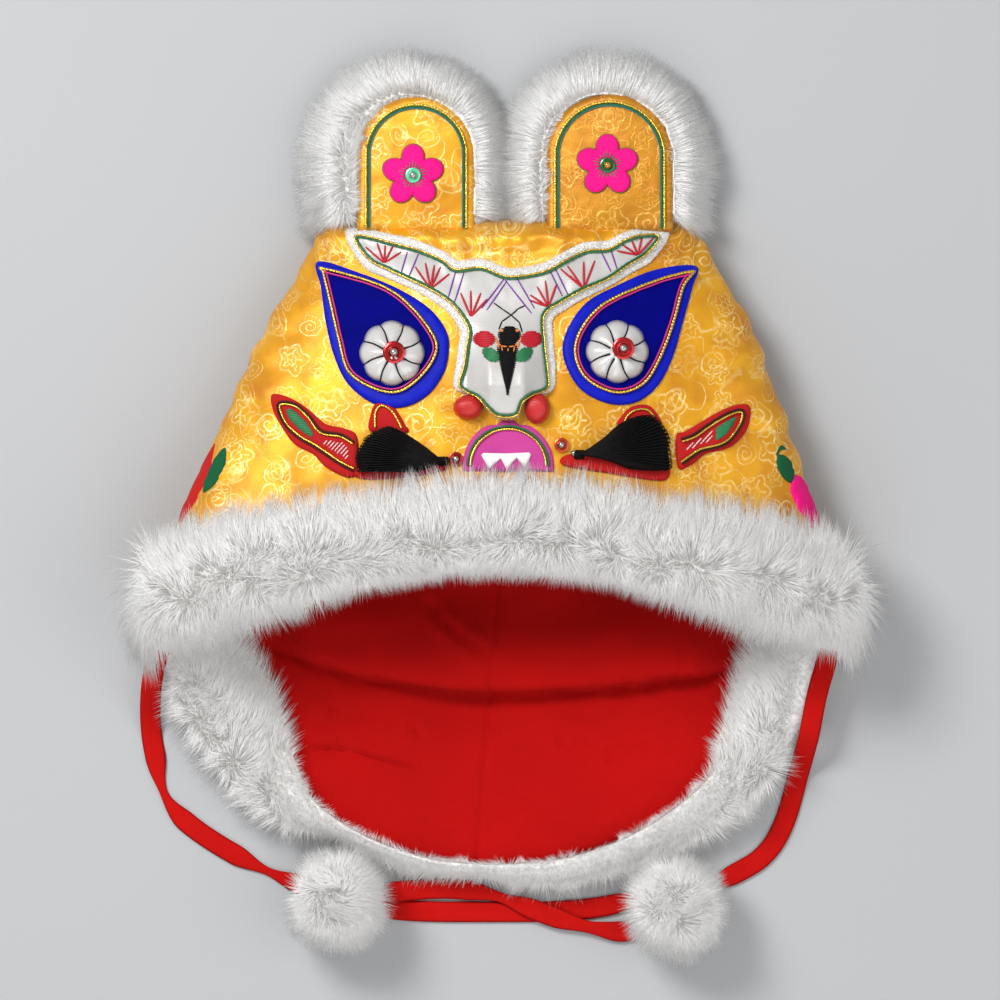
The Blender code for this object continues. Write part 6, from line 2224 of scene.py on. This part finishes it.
@dataclass
class Muzzle:
    """Silk nose balls, and the mouth with its cord and teeth.

    Attributes:
        cloth: Height of the crown.
        balls: Side, middle and half sizes of each nose ball.
        high: Height of the balls.
        mouth_x: Middle of the mouth.
        half: Half its width.
        top_y: Its highest place.
        teeth: Lower edge of the teeth.
        gums: Their upper edge.
    """

    cloth: Height
    balls: tuple[tuple[Side, Point, Point], ...] = (
        (Side.LEFT, (-10.6, 23.6), (5.5, 4.6)), (Side.RIGHT, (14.0, 23.2), (4.7, 5.8)))
    high: float = 7.0
    mouth_x: float = 3.6
    half: float = 16.2
    top_y: float = 19.0
    teeth: tuple[Point, ...] = ((-6.0, 6.6), (-4.6, 4.2), (-3.2, 1.4), (-1.0, 3.6), (1.0, 5.4), (2.2, 3.2),
                                (3.2, 1.2), (4.8, 3.6), (6.6, 5.6), (8.2, 3.8), (9.4, 1.6), (10.8, 4.2),
                                (11.8, 6.8))
    gums: tuple[Point, ...] = ((11.0, 7.6), (3.0, 7.2), (-5.2, 7.4))

    def build(self) -> None:
        """Make the muzzle's pieces."""
        for side, (x, y), (wide, deep) in self.balls:
            self.ball(side, x, y, wide, deep)
        spring = self.top_y - self.half
        arch = [polar((self.mouth_x, spring), self.half, math.pi * i / 24) for i in range(25)]
        line = [(self.mouth_x + self.half, 0.8), *arch, (self.mouth_x - self.half, 0.8)]
        line = [(x, min(y, 17.3 if abs(x - self.mouth_x) > 3.0 else self.top_y)) for x, y in line]
        edge = [Vector(p) for p in line]
        patch = Applique(edge, self.cloth)
        felt = patch.build("mouth_arch", MOUTH_FELT, ["mouth_patch"], "mouth_felt")
        top = over([felt], self.cloth)
        path = [(self.mouth_x + (x - self.mouth_x) * 0.86, max(2.0, spring + (y - spring) * 0.84))
                for x, y in arch]
        Couching(path, top, GOLD_GREEN).build("mouth_couching", ["mouth_cord"], "green_cord")
        edge = [Vector(p) for p in (*self.teeth, *self.gums)]
        band = Applique(edge, top, seat=0.1, thick=0.8, edge=0.5, gap=0.8)
        band.build("teeth_band", WHITE_FELT, ["teeth"], "white_felt")

    def ball(self, side: Side, x: float, y: float, wide: float, deep: float) -> None:
        """One stuffed silk ball, with small folds round its foot."""
        made = Sheet()
        rows, turns = 12, 40
        foot = self.cloth(x, y) + 0.2
        for row in range(rows + 1):
            rise = row / rows
            share = math.cos(rise * math.pi / 2.0) ** 0.62 if rise < 1.0 else 0.0
            for angle in circle(turns):
                fold = 1.0 - 0.05 * abs(math.cos(7.0 * angle + 0.8)) * (1.0 - rise) ** 2
                made.points.append(Vector((x + wide * share * fold * math.cos(angle),
                                           y + deep * share * fold * math.sin(angle),
                                           foot + 0.3 + self.high * 0.92 * math.sin(rise * math.pi / 2.0))))
        made.grid(rows + 1, turns, 0, True)
        made.face(tuple(reversed(range(turns))))
        silk = made.build(f"nose_silk_{side.value}", [RED_SILK], [f"nose_ball_{side.value}"], "red_silk",
                          merge=0.002)


@dataclass(frozen=True)
class CheekSize:
    """Plan of one cheek.

    Attributes:
        side: The side on which it lies.
        leaf: Outline of the leaf.
        cord: Route of the leaf's cord.
        petal: Outline of the petal beside it.
        head: Where the tassel starts.
        ends: Line on which the tassel's threads end.
        base: Outline of the felt under the tassel.
        sequin: Middle of the sequin.
        second: Place of a bead of its own, if there is one.
        disc: Finish of the sequin.
    """

    side: Side
    leaf: tuple[Point, ...]
    cord: tuple[Point, ...]
    petal: tuple[Point, ...]
    head: Point
    ends: tuple[Point, ...]
    base: tuple[Point, ...]
    sequin: Point
    second: Point | None
    disc: Finish


@dataclass
class Cheek:
    """A red leaf with its cord and net of stitches, a petal, a black tassel and a sequin.

    Attributes:
        size: Its plan.
        cloth: Height of the crown.
        strands: Threads that lie on the tassel.
        high: Height of the tassel.
        lift: Space between the tassel and the crown.
        turn_back: Share of a thread after which it loops back.
    """

    size: CheekSize
    cloth: Height
    strands: int = 210
    high: float = 5.6
    lift: float = 1.5
    turn_back: float = 0.893

    def build(self) -> None:
        """Make the cheek's pieces."""
        size, side = self.size, self.size.side.value
        outline = route(size.leaf, 1.0, True)
        leaf = Applique(outline, self.cloth, gap=1.3, rise=lambda x, y: 0.15 * waver(x, y, 5.0, 4.0))
        felt = leaf.build(f"cheek_felt_{side}", RED_FELT, [f"cheek_leaf_{side}"], "red_felt")
        top = over([felt], self.cloth)
        strands = (Strand(0.45, 0.48, GOLD_THREAD, 0.9), Strand(-0.45, 0.40, UMBER_THREAD))
        if size.side is Side.RIGHT:
            strands = (Strand(-0.45, 0.48, GOLD_THREAD, 0.9), Strand(0.45, 0.40, UMBER_THREAD))
        Couching(size.cord, top, strands).build(f"cheek_couching_{side}", [f"cheek_cord_{side}"],
                                                "gold_cord")
        self.net(top)
        arch = route(size.petal, 0.8, True)
        petal = Applique(arch, self.cloth, edge=0.7, gap=1.0)
        red = petal.build(f"cheek_arch_{side}", RED_FELT, [f"cheek_petal_{side}"], "red_felt")
        on_petal = over([red], self.cloth)
        cord = outset(size.petal, [-1.5] * len(size.petal))
        arch_cord = Couching(cord, on_petal, (Strand(0.0, 0.48, GOLD_THREAD, 0.9),))
        arch_cord.build(f"cheek_arch_cord_{side}", [], "gold_cord")
        base = Applique(route(size.base, 0.9, True), self.cloth, thick=0.9, edge=0.7)
        base.build(f"cheek_base_{side}", RED_FELT, [], "red_felt")
        disc = sequin(f"cheek_disc_{side}", size.sequin, 2.6, self.cloth, size.disc,
                      [f"cheek_sequin_{side}"], "red_sequin")
        bead(f"cheek_drop_{side}", size.sequin, 1.3, over([disc], self.cloth), STEEL, [], "steel_bead")
        if size.second:
            bead(f"cheek_pearl_{side}", size.second, 1.3, self.cloth, STEEL, [], "steel_bead")
        self.tassel()

    def net(self, top: Height) -> None:
        """The embroidery inside the cord's loop: a green leaf and a white and red net."""
        inner = route(outset(self.size.cord, [-1.6] * len(self.size.cord)), 0.8, True)
        xs, ys = [p.x for p in inner], [p.y for p in inner]
        flip = 1.0 if self.size.side is Side.LEFT else -1.0
        middle = min(xs) + (max(xs) - min(xs)) * (0.45 if flip > 0.0 else 0.55)
        made = Sheet()
        steps = int((max(xs) - min(xs) + max(ys) - min(ys)) / 1.5)
        for i in range(-steps, steps):
            for slope in (1.0, -1.0):
                run = []
                for k in range(60):
                    x = min(xs) + (max(xs) - min(xs)) * k / 59.0
                    y = min(ys) + i * 1.7 + slope * (x - min(xs)) * 1.1
                    inside = is_inside(x, y, inner) and edge_distance(x, y, inner) > 0.5
                    if inside and (x - middle) * flip > 0.6:
                        run.append((x, y))
                if len(run) > 3:
                    stitch(made, run[0], run[-1], top, width=0.42, kind=0 if slope > 0.0 else 1,
                           arch=0.05, lean=0.8)
        for k in range(34):
            y = min(ys) + (max(ys) - min(ys)) * (k + 0.5) / 34.0
            run = [x for x in (min(xs) + (max(xs) - min(xs)) * j / 79.0 for j in range(80))
                   if is_inside(x, y, inner) and edge_distance(x, y, inner) > 0.4
                   and (x - middle) * flip < -0.2]
            if len(run) > 3:
                stitch(made, (run[0], y), (run[-1], y + 0.3), top, width=0.75, kind=2, arch=0.18, lean=0.4)
        made.build(f"cheek_net_{self.size.side.value}", [WHITE_THREAD, RED_THREAD, LEAF_THREAD], [],
                   "green_felt")

    def heap(self, t: float, share: float) -> float:
        """Height of the hank over the cloth; t runs from the head to the ends, share across it."""
        edge = math.sin(math.pi * (0.05 + 0.90 * share)) ** 0.5
        hump = math.sin(math.pi * min(1.0, 0.10 + 0.84 * t)) ** 0.6
        return self.high * edge * hump * (0.86 + 0.22 * noise.noise(Vector((t * 3.0, share * 6.0, 5.0))))

    def fan(self, ends: Sequence[Vector], t: float, share: float) -> Vector:
        """A plan point of the hank, bowed a little towards its ends."""
        head = Vector(self.size.head)
        t *= 1.0 - 0.20 * abs(2.0 * share - 1.0) ** 2.5
        place = share * (len(ends) - 1)
        low = min(len(ends) - 2, int(place))
        end = ends[low].xy.lerp(ends[low + 1].xy, place - low)
        across = Vector((head.y - end.y, end.x - head.x)).normalized()
        return head.lerp(end, t) + across * 2.2 * (share - 0.5) * math.sin(math.pi * t)

    def tassel(self) -> None:
        """A dense hank that fans out sideways from beside the mouth, with threads that loop back."""
        size = self.size
        made = Sheet()
        ends = route(size.ends, 0.4)
        rows, columns = 16, 20
        for lift in (1, 0):
            for row in range(rows + 1):
                t = 0.97 * row / rows
                for column in range(columns + 1):
                    spot = self.fan(ends, t, column / columns)
                    y = max(0.8, spot.y)
                    high = self.heap(t, column / columns) - 0.45 if lift else 0.0
                    z = self.cloth(spot.x, y) + self.lift + max(0.1, high) * lift
                    made.points.append(Vector((spot.x, y, z)))
        made.slab(rows + 1, columns + 1)
        for i in range(self.strands):
            golden, third = (i * 0.618034) % 1.0, (i * 0.7548) % 1.0
            share = 0.02 + 0.96 * (i + 0.5) / self.strands
            drift = 0.10 * (golden - 0.5)
            reach = 0.90 + 0.12 * third
            path = []
            steps = 11
            for k in range(steps + 1):
                turn = k / steps
                t = reach * math.sin(min(1.0, turn * 1.12) * math.pi / 2.0) ** 0.9
                back = turn > self.turn_back
                if back:
                    t = reach * (1.0 - 0.8 * (turn - self.turn_back))
                at = max(0.0, min(1.0, share + drift * math.sin(math.pi * turn) + 0.03 * back))
                spot = self.fan(ends, t, at)
                y = max(0.8, spot.y)
                lift = self.heap(min(0.98, t), at) + 0.5 * golden + 0.15 * math.sin(9.0 * turn + i)
                if back:
                    lift *= 0.55
                path.append(Vector((spot.x, y, self.cloth(spot.x, y) + self.lift + max(0.1, lift))))
            made.tube(path, [0.21] * (steps + 1), 4)
        for k in range(7):
            x = size.head[0] + 0.5 * (k - 3)
            stitch(made, (x, size.head[1] - 1.6), (x + 0.2, size.head[1] + 1.6),
                   lambda u, v: self.cloth(u, v) + 1.6, width=0.8, arch=1.2, lean=0.6)
        made.build(f"tassel_{size.side.value}", [BLACK_THREAD], [f"whisker_tuft_{size.side.value}"],
                   "black_thread")


@dataclass
class SideFlower:
    """A petal and a leaf of felt that lie on the turn of the cloth at one side.

    Attributes:
        side: The side on which they lie.
        petal: The petal's ends in y, and the angles between which it lies.
        leaf: The same of the leaf.
        finish: The petal's felt.
    """

    side: Side
    petal: tuple[float, float, float, float]
    leaf: tuple[float, float, float, float]
    finish: Finish

    def build(self) -> None:
        """Make the two pieces."""
        slot = "red_felt" if self.side is Side.LEFT else "pink_felt"
        self.piece("side_bloom", "side_petal", self.petal, self.finish, slot)
        self.piece("side_green", "side_leaf", self.leaf, GREEN_FELT, "green_felt")

    def piece(self, name: str, node: str, span: Sequence[float], finish: Finish, slot: str) -> None:
        """One piece, padded and rounded at its edge; span holds its ends in y and its two angles."""
        sign = -1.0 if self.side is Side.LEFT else 1.0
        rows, columns = 18, 16
        made = Sheet()
        for face in (0, 1):
            for row in range(rows + 1):
                angle = span[2] + (span[3] - span[2]) * row / rows
                swell = math.sin(math.pi * (0.08 + 0.84 * row / rows)) ** 0.8
                for column in range(columns + 1):
                    share = column / columns - 0.5
                    y = (span[0] + span[1]) / 2.0 + (span[1] - span[0]) * share * swell
                    here = FORM.point(sign * angle, y)
                    step = FORM.point(sign * (angle + 0.5), y) - FORM.point(sign * (angle - 0.5), y)
                    down = FORM.point(sign * angle, y + 0.5) - FORM.point(sign * angle, y - 0.5)
                    normal = step.cross(down).normalized()
                    if normal.x * sign < 0.0:
                        normal.negate()
                    edge = min(row, rows - row, column, columns - column)
                    thick = 1.1 * min(1.0, 0.35 + 0.3 * edge) + 0.3 * abs(math.cos(math.pi * share * 2.0))
                    made.points.append(here + normal * (0.9 + (thick if face else 0.0)))
        made.slab(rows + 1, columns + 1)
        made.build(f"{name}_{self.side.value}", [finish], [f"{node}_{self.side.value}"], slot)


@dataclass(frozen=True)
class Studio:
    """Camera straight above, soft light from the upper left, and a pale floor.

    Attributes:
        centre: The point that the camera looks at, in millimetres.
        distance: Height of the camera, in millimetres.
        lens: Its focal length on a sensor of 36 mm, in millimetres.
        clip: How far it sees, in metres.
        lamps: Name, place and size in metres, and power in watts of each lamp.
        sky: Colour of the light from all round.
        sky_power: Strength of that light.
        reach: Half the floor's width, in metres.
    """

    centre: Point = (0.72, -9.36)
    distance: float = 4000.0
    lens: float = 400.0
    clip: float = 20.0
    lamps: tuple[tuple[str, tuple[float, float, float], float, float], ...] = (
        ("key", (-0.75, 0.75, 1.25), 0.6, 25.5), ("fill", (0.9, -0.3, 1.1), 1.2, 6.0),
        ("low", (-0.1, -0.9, 1.0), 0.9, 4.5))
    sky: Colour = (0.95, 0.96, 1.0)
    sky_power: float = 0.50
    reach: float = 2.5

    def build(self) -> None:
        """Make camera, lights, world and floor."""
        scene = bpy.context.scene
        lens = bpy.data.cameras.new("camera")
        lens.lens = self.lens
        lens.sensor_width = 36.0
        lens.clip_end = self.clip
        camera = linked("camera", lens)
        camera.location = (self.centre[0] * MM, self.centre[1] * MM, self.distance * MM)
        scene.camera = camera
        scene.view_settings.view_transform = "Standard"
        for name, place, size, power in self.lamps:
            lamp = bpy.data.lights.new(name, "AREA")
            lamp.size = size
            lamp.energy = power
            made = linked(name, lamp)
            made.location = place
            made.rotation_euler = (-Vector(place)).to_track_quat("-Z", "Y").to_euler()
        world = bpy.data.worlds.new("studio")
        world.use_nodes = True
        back = world.node_tree.nodes["Background"]
        back.inputs["Color"].default_value = (*self.sky, 1.0)
        back.inputs["Strength"].default_value = self.sky_power
        scene.world = world
        mesh = bpy.data.meshes.new("floor")
        corners = ((-1.0, -1.0), (1.0, -1.0), (1.0, 1.0), (-1.0, 1.0))
        mesh.from_pydata([(x * self.reach, y * self.reach, 0.0) for x, y in corners], [], [(0, 1, 2, 3)])
        mesh.materials.append(FLOOR.build())
        floor = linked("floor", mesh)


FLOOR = Finish("floor_pale", (0.40, 0.405, 0.41), (0.37, 0.375, 0.38), rough=0.8, depth=0.00002, tone=0.3)

EARS = (
    EarSize(
        Side.LEFT, x=-29.3, root=87.0, half=21.0, tip=135.5, fur_x=-33.0, fur_half=33.5,
        flower=(-30.4, 106.9), cloth=YELLOW_CLOTH, slot="brocade", disc=MINT_SEQUIN, drop=STEEL),
    # The right ear's plaque takes the darker copy of the brocade: painted shade.
    EarSize(
        Side.RIGHT, x=40.0, root=86.6, half=22.6, tip=136.5, fur_x=38.9, fur_half=34.0,
        flower=(39.2, 110.5), cloth=SHADED_EAR_CLOTH, slot="brocade_shade", disc=PINE_SEQUIN, drop=AMBER))
EYES = (
    EyeSize(
        Side.LEFT,
        patch=((-64.6, 76.0), (-50.0, 72.0), (-35.5, 66.0), (-24.5, 59.0), (-18.5, 51.0), (-17.5, 44.0),
               (-19.5, 35.5), (-25.5, 27.5), (-34.5, 23.5), (-44.5, 25.0), (-53.5, 32.0), (-58.5, 42.0),
               (-61.5, 54.0), (-63.3, 66.5)),
        cord=((-62.4, 73.4), (-42.5, 67.5), (-31.5, 60.0), (-22.5, 48.0), (-23.5, 40.0), (-30.5, 32.0),
              (-37.5, 29.0), (-46.5, 31.5), (-53.5, 37.0), (-56.5, 47.0), (-60.0, 62.0), (-62.4, 71.8)),
        button=(-37.8, 43.0), radius=11.3, sequin=(-37.0, 43.2)),
    EyeSize(
        Side.RIGHT,
        patch=((71.0, 74.3), (56.5, 73.0), (42.0, 67.0), (31.5, 61.0), (25.0, 52.0), (23.0, 43.0),
               (27.0, 33.0), (33.0, 27.5), (42.0, 24.5), (50.5, 26.0), (57.5, 32.0), (62.5, 42.0),
               (66.0, 54.0), (69.5, 66.5)),
        cord=((69.4, 72.4), (56.5, 69.0), (38.5, 61.0), (30.0, 52.0), (27.5, 43.0), (31.5, 34.0),
              (42.0, 29.0), (51.5, 32.0), (57.5, 41.0), (62.5, 54.0), (66.0, 66.5), (69.0, 71.0)),
        button=(42.5, 43.5), radius=10.9, sequin=(44.6, 44.6)))
CHEEKS = (
    CheekSize(
        Side.LEFT,
        leaf=((-80.6, 28.4), (-74.0, 27.0), (-67.5, 23.0), (-61.5, 17.8), (-55.0, 16.2), (-50.2, 13.2),
              (-50.0, 1.2), (-51.5, -1.2), (-55.0, -1.0), (-61.5, 2.5), (-66.0, 7.0), (-72.5, 10.5),
              (-77.0, 16.5), (-80.4, 23.0)),
        cord=((-51.4, 1.4), (-56.5, 4.0), (-64.5, 9.4), (-71.0, 13.2), (-76.0, 18.0), (-78.2, 24.6),
              (-72.5, 24.6), (-67.5, 20.5), (-63.0, 15.0), (-56.0, 13.6), (-51.4, 11.0)),
        petal=((-45.2, 15.0), (-45.2, 21.5), (-43.6, 25.0), (-40.4, 25.8), (-36.6, 23.2), (-33.6, 18.4),
               (-32.4, 14.6)),
        head=(-19.6, 4.4),
        ends=((-43.6, 19.6), (-46.4, 16.0), (-49.6, 9.6), (-50.4, 2.6), (-48.8, -1.0), (-38.0, -1.0)),
        base=((-52.0, 1.0), (-45.0, 6.0), (-30.0, 6.0), (-20.0, 5.0), (-19.0, 1.2), (-34.0, -1.5),
              (-48.0, -2.0)),
        sequin=(-15.0, 5.2), second=None, disc=RED_SEQUIN),
    CheekSize(
        Side.RIGHT,
        leaf=((90.0, 23.8), (86.0, 24.8), (79.5, 22.5), (72.5, 18.5), (66.5, 15.0), (63.4, 13.4),
              (64.2, 2.0), (69.0, 3.2), (74.0, 7.0), (80.5, 8.5), (85.0, 11.0), (89.2, 16.5)),
        cord=((65.4, 3.8), (68.0, 5.6), (72.5, 8.4), (79.0, 10.0), (83.5, 13.0), (87.2, 19.0),
              (87.0, 22.4), (82.0, 21.2), (75.5, 17.4), (70.0, 13.6), (65.4, 11.9)),
        petal=((43.0, 17.0), (45.0, 21.8), (48.6, 24.2), (53.4, 24.4), (56.6, 21.4), (57.2, 17.2)),
        head=(28.8, 6.8),
        ends=((45.6, 20.6), (52.0, 22.0), (57.6, 20.0), (60.4, 14.0), (61.8, 6.0), (61.4, 1.2),
              (50.0, 0.0)),
        base=((23.0, 6.0), (32.0, 8.0), (48.0, 8.0), (60.0, 4.0), (60.6, -1.6), (55.0, -2.4), (40.0, 0.0),
              (24.0, 2.6)),
        sequin=(22.6, 10.2), second=(27.0, 7.2), disc=ORANGE_SEQUIN))
BROW_FUR = Pile(3.2e6, 0.0125, radius=0.00017, spread=0.28, clump=1.45,
                clump_size=0.012, comb=1.1, bend=0.40, seed=11)
NAPE_FUR = Pile(3.3e6, 0.0112, radius=0.00017, spread=0.28, clump=1.45,
                clump_size=0.011, comb=1.0, bend=0.40, seed=12)


def cords() -> list[list[Vector]]:
    """The two tapes with their pompoms; returns their routes."""
    paths = []
    ends = ((Side.LEFT, Side.RIGHT, (64.0, -155.6)), (Side.RIGHT, Side.LEFT, (-57.2, -152.6)))
    for side, far, place in ends:
        pompom = Pompom(far, place).build()
        tie = Tie(side, TIE_PLANS[side], TIE_NARROW[side])
        path = tie.laid()
        tie.build(pompom, path)
        paths.append(path)
    return paths


def main() -> None:
    """Build the hat: camera and cords first, then the cloth, the fur and the face."""
    logging.basicConfig(level=logging.INFO, format="%(message)s")
    Studio().build()
    paths = cords()
    crown = CrownCloth("crown_cloth", "crown", YELLOW_CLOTH, "brocade", insets=(0.0, 2.0), short=0.0,
                       front=132, back=22, rows=100).build()
    LiningCloth("lining_cloth", "lining", LINING_CLOTH, "lining_cotton", insets=(2.35, 3.55), short=1.2,
                front=16, back=92, rows=92).build()
    cloth = over([crown], FORM.top)
    outlets = [point for path in paths for point in path[:2]]
    FurTrim("brow_trim", "brow_fur", BrowPile(), BROW_FUR, outlets=outlets).build()
    FurTrim("nape_trim", "nape_fur", NapePile(), NAPE_FUR, paths, bare=0.34).build()
    for ear in EARS:
        Ear(ear).build()
    Brow(cloth).build()
    for eye in EYES:
        Eye(eye, cloth).build()
    Muzzle(cloth).build()
    for cheek in CHEEKS:
        Cheek(cheek, cloth).build()
    SideFlower(Side.LEFT, petal=(-21.0, 11.0, 76.0, 88.0), leaf=(-8.0, 9.0, 68.5, 76.5),
               finish=RED_FELT).build()
    SideFlower(Side.RIGHT, petal=(-21.0, 0.5, 71.0, 88.0), leaf=(-3.5, 11.0, 68.0, 78.0),
               finish=PINK_FELT).build()


if __name__ == "__main__":
    main()
